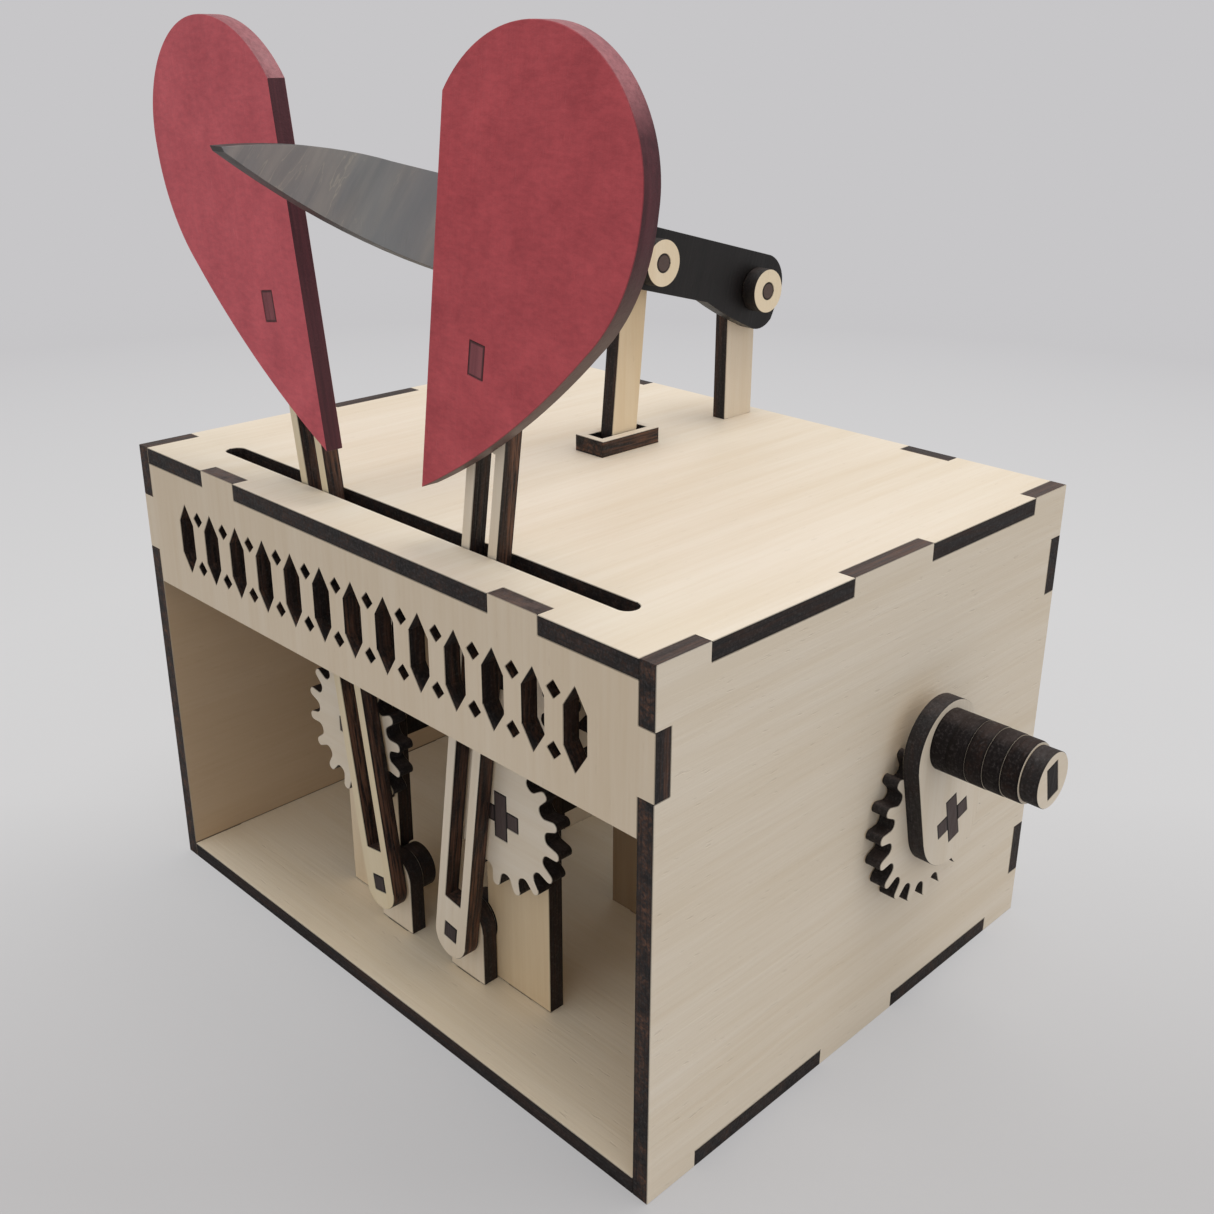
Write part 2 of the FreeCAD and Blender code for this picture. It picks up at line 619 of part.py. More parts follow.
def knife_outline():
    """The whole knife as one plate, drawn level with its rear pin at the origin."""
    bolster = HEEL_AT - BOLSTER
    belly = 0.42 * HEEL_AT + 0.58 * KNIFE_LENGTH
    point = (-KNIFE_LENGTH, KNIFE_TOP - SPINE_DROP)
    under = (-KNIFE_LENGTH + POINT_BACK, KNIFE_TOP - SPINE_DROP - POINT_DEPTH)
    spine = (-KNIFE_LENGTH + SPINE_FALL, KNIFE_TOP)
    fall = (-KNIFE_LENGTH + 0.444 * SPINE_FALL, KNIFE_TOP - 0.235 * SPINE_DROP)
    crown = (0.25 * BUTT_BACK, KNIFE_TOP)
    butt = (BUTT_BACK, KNIFE_TOP - BUTT_DROP)
    shoulder = (0.85 * BUTT_BACK, KNIFE_TOP - 0.39 * BUTT_DROP)
    corner = (BUTT_BACK - BUTT_SLANT, -0.67 * BUTT_HOOK)
    lobe = (0.4 * BUTT_BACK, -BUTT_HOOK)
    palm = (0.06 * BUTT_BACK, -BUTT_HOOK + 0.1)
    waist = (-GRIP_WAIST, -HANDLE_BOTTOM)
    hollow = (-0.446 * GRIP_WAIST, -0.39 * HANDLE_BOTTOM - 0.61 * BUTT_HOOK)
    return outline(
        point, (fall, spine), crown, (shoulder, butt), corner, (lobe, palm), (hollow, waist),
        (-bolster, -HANDLE_BOTTOM), (-HEEL_AT, -HEEL_DEPTH),
        ((-belly, -HEEL_DEPTH + BELLY), under), point)


def on_knife(face):
    """Tilt a piece drawn about the level knife's rear pin to where it rests."""
    piece = face.copy()
    piece.rotate(V(0, 0, 0), V(0, 0, 1), -KNIFE_TILT)
    return piece.translated(V(KNIFE_PIN_Y, KNIFE_PIN_Z, 0))


def knife_group():
    """The knife on its rear pin, with the pin that carries the connecting rod."""
    pieces = {}
    rear_hole = disc((0, 0), PIN_HOLE_R)
    front_hole = disc((-KNIFE_PIN_SPACING, KNIFE_PIN_RISE), PIN_R)
    pieces["knife"] = in_yz(slab(on_knife(knife_outline().cut([rear_hole, front_hole]))), KNIFE_X)
    for name, place in (("rear_knife", (KNIFE_PIN_Y, KNIFE_PIN_Z)), ("front_knife", knife_front_pin())):
        near_x = KNIFE_X + PLY + FACE_GAP
        far_x = ROD_X - FACE_GAP - PLY
        ring = slab(disc(place, PIN_WASHER_R).cut(disc(place, PIN_R)))
        pin = slab(disc(place, PIN_R), near_x + PLY - far_x)
        pieces[name + "_washers"] = Part.makeCompound([in_yz(ring, near_x), in_yz(ring, far_x)])
        pieces[name + "_pin"] = in_yz(pin, far_x)
    return pieces


def connecting_rod():
    """The rod from the crank pin up to the knife, and the pin that rides in its lower eye."""
    low, high = crank_pin(), knife_front_pin()
    bar = slab(link(low, ROD_W / 2, high, ROD_W / 2))
    rod = bar.multiFuse([slab(disc(low, ROD_EYE_R)), slab(disc(high, ROD_EYE_R))]).removeSplitter()
    rod = rod.cut([slab(disc(low, PIN_R)), slab(disc(high, PIN_HOLE_R))])
    pin_length = PLY + SLOT_GAP
    return {
        "push_rod": in_yz(rod, ROD_X),
        "crank_pin": in_yz(slab(disc(low, PIN_R), pin_length), ROD_X - SLOT_GAP / 2)}


def both_sides(pieces):
    """Name the right-hand pieces and add their mirror images on the left."""
    pair = {}
    for name, shape in pieces.items():
        pair["right_" + name] = shape
        pair["left_" + name] = mirrored(shape)
    return pair


def automaton():
    parts = {
        "base_plate": base_plate(),
        "top_plate": top_plate(),
        "left_side_panel": side_panel(LEFT),
        "right_side_panel": side_panel(RIGHT - PLY),
        "back_panel": back_panel(),
        "front_fascia": front_fascia(),
        "knife_guide_collar": knife_guide_collar(),
        "rear_knife_post": rear_knife_post()}
    stands = {
        "front_stand": front_stand(),
        "rear_stand": rear_stand(),
        "pivot_stand": pivot_stand(),
        "shaft_bearing": shaft_bearing()}
    parts.update(both_sides(stands))
    parts.update(both_sides(gear_train()))
    parts.update(both_sides(heart_arm()))
    parts.update(crank())
    parts.update(knife_group())
    parts.update(connecting_rod())
    return parts


os.makedirs("parts", exist_ok=True)
for node, shape in automaton().items():
    shape.exportStep("parts/" + node + ".step")
    print(node, round(shape.Volume), len(shape.Solids))
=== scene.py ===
# %% [markdown]
# # A hand-cranked plywood automaton
# A small box of 3 mm birch plywood, cut by a laser. Turning the crank at its side turns
# gears in the open front, swings a toy knife and moves the two halves of a heart apart.
# Nearly every piece comes finished in shape from the construction model. Only the handle
# and the gears are made again here, with softer forms. So this lesson is mostly about
# looks: how bare birch, charred edges and stained wood are told apart in one material,
# and how a camera and soft lights are set up around them.

import json
import math

import bmesh
import bpy
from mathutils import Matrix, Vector


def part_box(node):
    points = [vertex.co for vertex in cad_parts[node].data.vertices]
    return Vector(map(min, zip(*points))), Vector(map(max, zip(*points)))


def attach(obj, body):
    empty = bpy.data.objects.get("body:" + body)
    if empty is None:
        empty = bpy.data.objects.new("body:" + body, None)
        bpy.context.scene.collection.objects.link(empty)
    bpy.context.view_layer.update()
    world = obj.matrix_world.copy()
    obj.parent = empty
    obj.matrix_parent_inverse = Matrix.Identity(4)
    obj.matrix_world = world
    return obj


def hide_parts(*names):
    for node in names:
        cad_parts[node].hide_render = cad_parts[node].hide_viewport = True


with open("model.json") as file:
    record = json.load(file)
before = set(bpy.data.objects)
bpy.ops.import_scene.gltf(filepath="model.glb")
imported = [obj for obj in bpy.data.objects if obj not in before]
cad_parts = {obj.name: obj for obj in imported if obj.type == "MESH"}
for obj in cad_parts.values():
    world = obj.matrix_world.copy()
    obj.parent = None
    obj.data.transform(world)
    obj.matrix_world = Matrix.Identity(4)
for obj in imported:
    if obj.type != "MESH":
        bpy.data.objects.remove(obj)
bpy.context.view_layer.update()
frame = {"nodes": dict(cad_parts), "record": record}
NODES = frame["nodes"]
BEHAVIOUR = frame["record"]["behaviour"]
MM = 0.001
AXES = {"x": (1.0, 0.0, 0.0), "y": (0.0, 1.0, 0.0), "z": (0.0, 0.0, 1.0)}
SIDES = ("right", "left")


def middle_of(name):
    """The middle of a construction piece's box, in metres."""
    low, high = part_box(name)
    return tuple((Vector(low) + Vector(high)) / 2)


# %% [markdown]
# ## Small helpers for shader trees
# A material in code is a list of nodes and links. `place` makes one node and fills its
# inputs: a number or colour is typed into the socket, another node's output is linked.
# That keeps each recipe below readable, one line for each step of the finish. The names
# that follow stand for the sums that come up again and again: times, a weighted sum, a
# stretch of a range, and how far a direction agrees with another.


# %% Helpers for nodes and links
def feed(tree, socket, value):
    """Link another node's output to a socket, or type a number or colour into it."""
    if isinstance(value, bpy.types.NodeSocket):
        tree.links.new(value, socket)
    else:
        socket.default_value = value


def place(tree, kind, inputs=None, **settings):
    """Make one shader node; inputs maps a socket's name or number to a value or an output."""
    node = tree.nodes.new("ShaderNode" + kind)
    for name, value in settings.items():
        setattr(node, name, value)
    for key, value in (inputs or {}).items():
        feed(tree, node.inputs[key], value)
    return node


def math_step(tree, operation, first, second=0.0, clamp=False):
    node = place(tree, "Math", {0: first, 1: second}, operation=operation, use_clamp=clamp)
    return node.outputs[0]


def times(tree, first, second):
    return math_step(tree, "MULTIPLY", first, second)


def minus(tree, first, second):
    return math_step(tree, "SUBTRACT", first, second)


def weigh(tree, *terms):
    """Add up values, each times its share."""
    parts = [times(tree, value, share) for value, share in terms]
    total = parts[0]
    for part in parts[1:]:
        total = math_step(tree, "ADD", total, part)
    return total


def remap(tree, value, low, high, to_low=0.0, to_high=1.0):
    """Stretch a value's range from low..high to to_low..to_high, clamped."""
    inputs = {"Value": value, "From Min": low, "From Max": high, "To Min": to_low, "To Max": to_high}
    return place(tree, "MapRange", inputs).outputs[0]


def mix_values(tree, factor, first, second):
    return place(tree, "Mix", {0: factor, 2: first, 3: second}, data_type="FLOAT").outputs[0]


def blend_colours(tree, factor, first, second, mode="MIX"):
    node = place(tree, "Mix", {0: factor, 6: first, 7: second}, data_type="RGBA", blend_type=mode)
    return node.outputs[2]


def colour(red, green, blue):
    """A colour read off a screen, 0 to 255, as the linear light that shaders use."""
    def linear(c):
        c = c / 255
        return c / 12.92 if c <= 0.04045 else ((c + 0.055) / 1.055) ** 2.4
    return (linear(red), linear(green), linear(blue), 1.0)


def vector_step(tree, operation, first, second):
    return place(tree, "VectorMath", {0: first, 1: second}, operation=operation).outputs[0]


def agree(tree, vector, direction):
    """How far a vector reaches along a direction."""
    node = place(tree, "VectorMath", {0: vector, 1: direction}, operation="DOT_PRODUCT")
    return node.outputs["Value"]


def here(tree):
    """The point that is being shaded, in metres."""
    return place(tree, "TexCoord").outputs["Object"]


def facing(tree, direction):
    """1 where the surface looks the given way, -1 where it looks the other way."""
    return agree(tree, place(tree, "TexCoord").outputs["Normal"], direction)


def noise(tree, space, scale, detail, **more):
    """Grey noise over a space; more holds further inputs, such as Roughness."""
    inputs = {"Vector": space, "Scale": scale, "Detail": detail, **more}
    return place(tree, "TexNoise", inputs).outputs[0]


def shader_group(name, inputs, outputs):
    """An empty node group with named sockets; an input is (name, type, default)."""
    group = bpy.data.node_groups.new(name, "ShaderNodeTree")
    for label, kind, default in inputs:
        socket = group.interface.new_socket(label, in_out="INPUT", socket_type="NodeSocket" + kind)
        socket.default_value = default
    for label, kind in outputs:
        group.interface.new_socket(label, in_out="OUTPUT", socket_type="NodeSocket" + kind)
    return group, group.nodes.new("NodeGroupInput"), group.nodes.new("NodeGroupOutput")


def use_group(tree, group, inputs):
    node = tree.nodes.new("ShaderNodeGroup")
    node.node_tree = group
    for key, value in inputs.items():
        feed(tree, node.inputs[key], value)
    return node


print("helpers ready")

# %% [markdown]
# ## Which faces the laser cut
# A plywood piece has two broad faces and, all round, the edge that the laser left brown
# and black. Painting each face by hand would be slow and would break when a piece
# changes. The piece's own normal tells them apart: on a broad face it points along the
# sheet's thickness, on a cut edge it lies across it.

# %% The mask of cut edges
EDGE_BELOW = 0.55
FACE_ABOVE = 0.85


def build_cut_edge_mask():
    group, given, result = shader_group(
        "cut edge mask", [("Thickness", "Vector", AXES["z"])], [("Edge", "Float")])
    flatness = math_step(group, "ABSOLUTE", facing(group, given.outputs[0]))
    group.links.new(remap(group, flatness, EDGE_BELOW, FACE_ABOVE, 1.0, 0.0), result.inputs[0])
    return group


CUT_EDGE_MASK = build_cut_edge_mask()
print("group", CUT_EDGE_MASK.name)

# %% [markdown]
# ## Coordinates that run along the grain
# Wood looks like wood because its marks are long one way and short the other. Noise is
# even in all directions, so its space is squeezed along the grain before it is sampled:
# a mark that was round becomes a streak. The grain's direction is an input, so one group
# serves a lid, a side panel and an arm that leans. The seed moves the whole space, so two
# boards with the same grain don't show the same streaks.


# %% The squeezed space
def build_grain_space():
    group, given, result = shader_group(
        "grain space",
        [("Grain", "Vector", AXES["y"]), ("Stretch", "Float", 20.0), ("Seed", "Float", 0.0)],
        [("Vector", "Vector")])
    grain, stretch, seed = given.outputs[:3]
    point = here(group)
    lost_share = minus(group, 1.0, math_step(group, "DIVIDE", 1.0, stretch))
    lost_reach = times(group, agree(group, point, grain), lost_share)
    lost = place(group, "VectorMath", {0: grain, 3: lost_reach}, operation="SCALE").outputs[0]
    squeezed = vector_step(group, "SUBTRACT", point, lost)
    shift = place(group, "CombineXYZ", {0: seed, 1: seed, 2: seed}).outputs[0]
    group.links.new(vector_step(group, "ADD", squeezed, shift), result.inputs[0])
    return group


GRAIN_SPACE = build_grain_space()


def along_grain(tree, grain, stretch, seed):
    """The point being shaded, in a space where marks come out stretched along the grain."""
    return use_group(tree, GRAIN_SPACE, {"Grain": grain, "Stretch": stretch, "Seed": seed}).outputs[0]


print("group", GRAIN_SPACE.name)

# %% [markdown]
# ## Bare birch
# Birch veneer is pale and quiet: faint long streaks, broader clouds where the sheet is a
# little darker, and tiny brown flecks. Noises of different scale do this: two make the
# streaks, one the clouds and one the flecks. The group gives out masks, and each material
# mixes its own colours with them.


# %% The birch pattern
def build_birch_figure():
    group, given, result = shader_group(
        "birch figure",
        [("Grain", "Vector", AXES["y"]), ("Seed", "Float", 0.0)],
        [("Streak", "Float"), ("Cloud", "Float"), ("Fleck", "Float"), ("Height", "Float")])
    grain, seed = given.outputs[:2]
    long_marks = along_grain(group, grain, 26.0, seed)
    short_marks = along_grain(group, grain, 6.0, seed)
    fine = noise(group, long_marks, 1500.0, 3.0, Roughness=0.6)
    band = noise(group, long_marks, 260.0, 3.0, Distortion=0.4)
    cloud = noise(group, short_marks, 75.0, 2.0)
    speck = noise(group, short_marks, 1900.0, 1.0)
    streak = remap(group, weigh(group, (fine, 0.45), (band, 0.55)), 0.36, 0.64)
    fleck = remap(group, speck, 0.70, 0.80)
    group.links.new(streak, result.inputs["Streak"])
    group.links.new(remap(group, cloud, 0.3, 0.7), result.inputs["Cloud"])
    group.links.new(fleck, result.inputs["Fleck"])
    group.links.new(minus(group, streak, fleck), result.inputs["Height"])
    return group


BIRCH_FIGURE = build_birch_figure()
print("group", BIRCH_FIGURE.name)

# %% [markdown]
# ## Charred edges
# The laser burns the cut to a brown that is nearly black. It isn't even: the three plies
# show as lines along the edge, with the glue darkest between them, the two outer rims are
# burnt hardest, and soot leaves brown patches and grey specks. Where a burnt edge faces
# up it turns a lighter, duller brown, partly rubbed by fingers and partly a painted
# highlight for the light from above. The plies need to know where the sheet's middle lies,
# so that comes in as a number, measured from the piece itself.

# %% The char pattern
# How far from the sheet's middle each layer fades into the next.
CORE_FADE = (0.45 * MM, 0.60 * MM)
GLUE_FADE = (0.60 * MM, 0.75 * MM)
RIM_FADE = (1.12 * MM, 1.30 * MM)
CHAR_BLACK = (19, 14, 15)
CHAR_BROWN = (112, 78, 60)
CHAR_ASH = (92, 86, 86)
CHAR_RIM = (12, 7, 6)
# A lighter, duller brown for cut edges that look up: partly rubbed, partly a painted highlight.
CHAR_RUB_AND_SHEEN = (128, 110, 104)


def build_char():
    group, given, result = shader_group(
        "laser char",
        [("Thickness", "Vector", AXES["z"]), ("Grain", "Vector", AXES["y"]),
         ("Middle", "Float", 0.0), ("Seed", "Float", 0.0), ("Brown", "Float", 0.4),
         ("Rub And Sheen", "Float", 0.3)],
        [("Color", "Color"), ("Roughness", "Float"), ("Height", "Float")])
    thickness, grain, middle, seed, brown, rub_and_sheen = given.outputs[:6]
    point = here(group)
    depth = math_step(group, "ABSOLUTE", minus(group, agree(group, point, thickness), middle))
    core = remap(group, depth, *CORE_FADE, 1.0, 0.0)
    outer = remap(group, depth, *GLUE_FADE)
    glue = minus(group, minus(group, 1.0, core), outer)
    rim = remap(group, depth, *RIM_FADE, 0.0, 0.8)
    streaks = along_grain(group, grain, 14.0, seed)
    soot = noise(group, streaks, 420.0, 3.0)
    fibre = remap(group, noise(group, streaks, 1700.0, 3.0, Roughness=0.65), 0.38, 0.70)
    ripple = noise(group, along_grain(group, thickness, 10.0, seed), 2600.0, 2.0)
    speck = noise(group, point, 2300.0, 2.0, Roughness=0.7)
    patchy = times(group, remap(group, soot, 0.35, 0.72), fibre)
    browned = math_step(group, "MULTIPLY", patchy, brown, clamp=True)
    burnt = blend_colours(group, browned, colour(*CHAR_BLACK), colour(*CHAR_BROWN))
    ash = remap(group, speck, 0.50, 0.75, 0.0, 0.35)
    ashen = blend_colours(group, ash, burnt, colour(*CHAR_ASH))
    dark = math_step(group, "MAXIMUM", times(group, glue, 0.5), rim)
    darker = blend_colours(group, dark, ashen, colour(*CHAR_RIM))
    # Where the edge looks up it turns lighter: partly worn by fingers, partly a painted highlight for the
    # light from above.
    looks_up = remap(group, facing(group, AXES["z"]), 0.80, 0.95)
    worn_and_lit = times(group, looks_up, remap(group, soot, 0.30, 0.60, 0.5, 1.0))
    dulled_and_lit = blend_colours(group, times(group, worn_and_lit, rub_and_sheen), darker, colour(*CHAR_RUB_AND_SHEEN))
    relief = math_step(group, "ADD", times(group, ripple, 0.6), fibre)
    group.links.new(dulled_and_lit, result.inputs["Color"])
    group.links.new(remap(group, fibre, 0.0, 1.0, 0.55, 0.8), result.inputs["Roughness"])
    group.links.new(minus(group, relief, glue), result.inputs["Height"])
    return group


LASER_CHAR = build_char()
print("group", LASER_CHAR.name)

# %% [markdown]
# ## One material for each piece
# Boards cut from one sheet still differ a little: one is yellower, one was a bit closer
# to a knot. Each piece therefore gets its own material from the same recipe, with its own
# seed, tint and grain. The recipe mixes face and edge by the mask, for colour, roughness
# and relief alike.

# %% The recipe for a plywood piece
BIRCH_PALE = (238, 227, 210)
BIRCH_DEEP = (227, 212, 189)
FLECK_BROWN = (150, 124, 98)
FLECK_SHARE = 0.10
# The next colour is painted shade, multiplied over the inner faces of the walls that the box itself
# shades.
INNER_SHADE = (0.71, 0.60, 0.49, 1.0)
CLEAR = (1.0, 1.0, 1.0, 1.0)
FACE_RELIEF = 0.03 * MM
BIRCH_GLOSS = 0.35
USUAL_BROWN = 0.45
USUAL_RUB_AND_SHEEN = 0.12


def new_material(name):
    material = bpy.data.materials.new(name)
    material.use_nodes = True
    tree = material.node_tree
    return material, tree, tree.nodes["Principled BSDF"]


def finish_surface(tree, shader, base, roughness, height, relief, gloss):
    """Wire a recipe's colour, roughness and relief to the shader; gloss is one number."""
    tree.links.new(base, shader.inputs["Base Color"])
    tree.links.new(roughness, shader.inputs["Roughness"])
    bump = place(tree, "Bump", {"Height": height, "Strength": 1.0, "Distance": relief})
    tree.links.new(bump.outputs[0], shader.inputs["Normal"])
    shader.inputs["Specular IOR Level"].default_value = gloss


def inner_face(tree, inward):
    """1 on the face whose normal points the way that is given, 0 elsewhere."""
    return remap(tree, facing(tree, inward), 0.6, 0.8)


def plywood(name, thickness, grain, seed, centre, pale=BIRCH_PALE, deep=BIRCH_DEEP,
            brown=USUAL_BROWN, rub_and_sheen=USUAL_RUB_AND_SHEEN, inward=None, gloss=BIRCH_GLOSS):
    """Bare birch faces with charred edges; the face that looks inward may get painted shade."""
    material, tree, shader = new_material(name + " plywood")
    edge = use_group(tree, CUT_EDGE_MASK, {"Thickness": thickness}).outputs[0]
    figure = use_group(tree, BIRCH_FIGURE, {"Grain": grain, "Seed": seed}).outputs
    char = use_group(tree, LASER_CHAR, {
        "Thickness": thickness, "Grain": grain, "Middle": centre, "Seed": seed, "Brown": brown,
        "Rub And Sheen": rub_and_sheen}).outputs
    tone = weigh(tree, (figure["Streak"], 0.55), (figure["Cloud"], 0.45))
    face = blend_colours(tree, tone, colour(*deep), colour(*pale))
    face = blend_colours(tree, times(tree, figure["Fleck"], FLECK_SHARE), face, colour(*FLECK_BROWN))
    # Painted shade on the face that looks inward.
    if inward:
        shaded_face = blend_colours(tree, inner_face(tree, inward), CLEAR, INNER_SHADE)
        face = blend_colours(tree, 1.0, face, shaded_face, mode="MULTIPLY")
    base = blend_colours(tree, edge, face, char["Color"])
    satin = remap(tree, figure["Streak"], 0.0, 1.0, 0.58, 0.48)
    rough = mix_values(tree, edge, satin, char["Roughness"])
    height = mix_values(tree, edge, figure["Height"], char["Height"])
    finish_surface(tree, shader, base, rough, height, FACE_RELIEF, gloss)
    return material


def dress(name, material):
    """Give a construction piece its finish."""
    slots = NODES[name].material_slots
    for slot in slots:
        slot.material = material
    if not slots:
        NODES[name].data.materials.append(material)


def paint_over(material, mask, paint):
    """Blend a colour over a finished material, by a mask that was made in its tree."""
    tree = material.node_tree
    base = tree.nodes["Principled BSDF"].inputs["Base Color"]
    wood = base.links[0].from_socket
    tree.links.new(blend_colours(tree, mask, wood, colour(*paint)), base)


print("birch recipe ready")

# %% [markdown]
# ## Dressing the birch pieces
# The first table says which way each piece's sheet lies and which way its grain runs. The
# arms lean, so their grain leans with them. The others hold what sets a piece apart: its
# tint, which for a few pieces is painted light or shade, the painted shade on its inner
# face, and how brown its cut edges are and how much lighter they turn where they look up,
# partly rubbed and partly a painted highlight.

# %% Which way each sheet lies
ARM_LEAN = math.radians(8.6)
LEAN = {"right": (math.sin(ARM_LEAN), 0.0, math.cos(ARM_LEAN)),
        "left": (-math.sin(ARM_LEAN), 0.0, math.cos(ARM_LEAN))}
SHEETS = {
    "base_plate": ("z", AXES["x"]), "top_plate": ("z", AXES["y"]),
    "left_side_panel": ("x", AXES["y"]), "right_side_panel": ("x", AXES["y"]),
    "back_panel": ("y", AXES["x"]), "front_fascia": ("y", AXES["z"]),
    "knife_guide_collar": ("z", AXES["y"]), "rear_knife_post": ("x", AXES["z"]),
    "push_rod": ("x", AXES["z"]), "crank_web": ("x", AXES["y"]),
    "outer_gear": ("x", AXES["y"]), "crank_arm": ("x", AXES["z"]), "left_shaft_washer": ("x", AXES["z"]),
    "handle_end_disc": ("x", AXES["y"]), "handle_discs": ("x", AXES["y"]),
    "rear_knife_washers": ("x", AXES["z"]), "front_knife_washers": ("x", AXES["z"]),
}
for side in SIDES:
    for part in ("front_stand", "rear_stand", "pivot_stand"):
        SHEETS[f"{side}_{part}"] = ("y", AXES["z"])
    for part in ("front_gear", "rear_gear", "upper_gear", "upper_gear_washer"):
        SHEETS[f"{side}_{part}"] = ("y", AXES["x"])
    SHEETS[f"{side}_arm_pivot_washer"] = ("y", AXES["x"])
    SHEETS[f"{side}_heart_arm"] = ("y", LEAN[side])
    SHEETS[f"{side}_shaft_bearing"] = ("x", AXES["z"])
    SHEETS[f"{side}_drive_gear"] = ("x", AXES["y"])
print("sheets", len(SHEETS))

# %% What sets a piece apart, and the dressing
# Each piece's pale and deep birch: mostly its own tone, but for a few pieces painted light or shade, as
# noted.
TINTS_AND_PAINTED_LIGHT = {
    # The front fascia's darker tint is painted shade on its face that looks away from the lamp.
    "front_fascia": ((229, 214, 192), (219, 200, 173)),
    # The base plate's paler tint is painted light, for the floor inside that the walls shade.
    "base_plate": ((252, 239, 217), (243, 227, 199)),
    "right_front_stand": ((228, 208, 176), (216, 192, 156)),
    "left_front_stand": ((232, 214, 186), (220, 198, 164)),
    # The rear stands' dark brown tints are painted shade, deep inside the box.
    "right_rear_stand": ((168, 144, 116), (150, 126, 98)),
    "left_rear_stand": ((168, 144, 116), (150, 126, 98)),
    "left_heart_arm": ((238, 224, 195), (226, 208, 172)),
    "push_rod": ((240, 224, 196), (228, 206, 170)),
    "rear_knife_washers": ((246, 232, 206), (236, 219, 188)),
    "front_knife_washers": ((246, 232, 206), (236, 219, 188)),
}
# The walls whose inner face gets painted shade, and which way that face looks.
PAINTED_SHADE_INSIDE = {"left_side_panel": AXES["x"], "right_side_panel": (-1.0, 0.0, 0.0),
          "back_panel": (0.0, -1.0, 0.0)}
BROWNER = {
    "knife_guide_collar": 1.9, "right_heart_arm": 2.6, "left_heart_arm": 2.6, "crank_arm": 0.15,
    "outer_gear": 0.1, "rear_knife_post": 0.9, "push_rod": 0.7, "handle_end_disc": 0.1,
    "front_fascia": 1.0, "right_side_panel": 1.2, "left_side_panel": 1.2,
}
for side in SIDES:
    BROWNER.update({f"{side}_front_gear": 0.1, f"{side}_rear_gear": 0.1, f"{side}_upper_gear": 0.1})
# How much lighter each piece's upward cut edges turn, partly rubbed and partly painted highlight.
RUB_AND_SHEEN = {"front_fascia": 0.38, "right_side_panel": 0.26, "left_side_panel": 0.1, "back_panel": 0.1}
SEED_STEP = 0.37
for number, (name, (axis, grain)) in enumerate(sorted(SHEETS.items())):
    pale, deep = TINTS_AND_PAINTED_LIGHT.get(name, (BIRCH_PALE, BIRCH_DEEP))
    centre = Vector(middle_of(name)).dot(Vector(AXES[axis]))
    dress(name, plywood(name, AXES[axis], grain, SEED_STEP * number, centre, pale, deep,
                        BROWNER.get(name, USUAL_BROWN), RUB_AND_SHEEN.get(name, USUAL_RUB_AND_SHEEN), PAINTED_SHADE_INSIDE.get(name)))
print("birch pieces", len(SHEETS))

# %% [markdown]
# ## Soot and painted shade along the floor
# Where the walls and the stands meet the base, a thin dark line runs along the joint:
# partly soot from the cut, partly painted shade in the narrow gap there. The line belongs
# to one face, just above the base plate's top, so it is a band in height, kept to the face
# that looks the given way.

# %% A line of soot and painted shade along each foot
FLOOR_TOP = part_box("base_plate")[1][2]
FOOT_SOOT_AND_SHADE = (44, 32, 26)
FOOT_FADE = (0.10 * MM, 0.32 * MM)


def soot_and_shade_at_foot(material, inward):
    tree = material.node_tree
    height = place(tree, "SeparateXYZ", {0: here(tree)}).outputs["Z"]
    # A band just above the base plate: soot, and painted shade in the joint's gap.
    line = remap(tree, height, FLOOR_TOP + FOOT_FADE[0], FLOOR_TOP + FOOT_FADE[1], 0.85, 0.0)
    paint_over(material, times(tree, line, inner_face(tree, inward)), FOOT_SOOT_AND_SHADE)


SOOT_AND_SHADE_FEET = dict(PAINTED_SHADE_INSIDE)
for side in SIDES:
    for part in ("front_stand", "pivot_stand"):
        SOOT_AND_SHADE_FEET[f"{side}_{part}"] = (0.0, -1.0, 0.0)
for name, inward in SOOT_AND_SHADE_FEET.items():
    soot_and_shade_at_foot(NODES[name].material_slots[0].material, inward)
print("soot lines", len(SOOT_AND_SHADE_FEET), "at", round(FLOOR_TOP / MM, 2), "mm")

# %% [markdown]
# ## The handle
# The handle is five discs of ply on a flat peg, rubbed until they feel like one roller.
# The outer two are a touch smaller and their corners softer, so their seams show while
# the inner ones hardly do. Each disc is turned on a lathe, as it were: half its outline is
# drawn as a loop of points and spun round the peg's line. Its side tapers slightly towards
# each seam, which is enough to catch the light as a thin line.

# %% The stacked discs
# From the crank outwards: how much each disc is worn, how soft its corners are, how brown.
DISC_WEAR = (0.0, 0.0, 0.0, 0.06, 0.12)
DISC_SOFTNESS = (0.02, 0.02, 0.06, 0.08, 0.13)
DISC_BROWN = (0.0, 0.0, 0.15, 0.0, 0.2)
DISC_BORE = 3.3 * MM
DISC_SHY = 0.01
TAPER = 3
LATHE_STEPS = 72
HANDLE_GLOSS = 0.15
HANDLE_SEED = 3.1
SHARPEST_SMOOTH = math.radians(30)


def turn_disc(form, centre, start, end, radius, soft, finish):
    """Spin one disc, whose sides taper a little towards its seams, about a line along x."""
    taper = TAPER * soft
    profile = [(start, DISC_BORE), (start, radius - soft), (start + taper, radius),
               (end - taper, radius), (end, radius - soft), (end, DISC_BORE)]
    points = [form.verts.new((along, centre[0] + reach, centre[1])) for along, reach in profile]
    loop = [form.edges.new((points[i - 1], points[i])) for i in range(len(points))]
    before = len(form.faces)
    bmesh.ops.spin(form, geom=points + loop, cent=(0, centre[0], centre[1]), axis=AXES["x"],
                   angle=math.tau, steps=LATHE_STEPS, use_merge=True)
    for face in list(form.faces)[before:]:
        face.material_index = finish


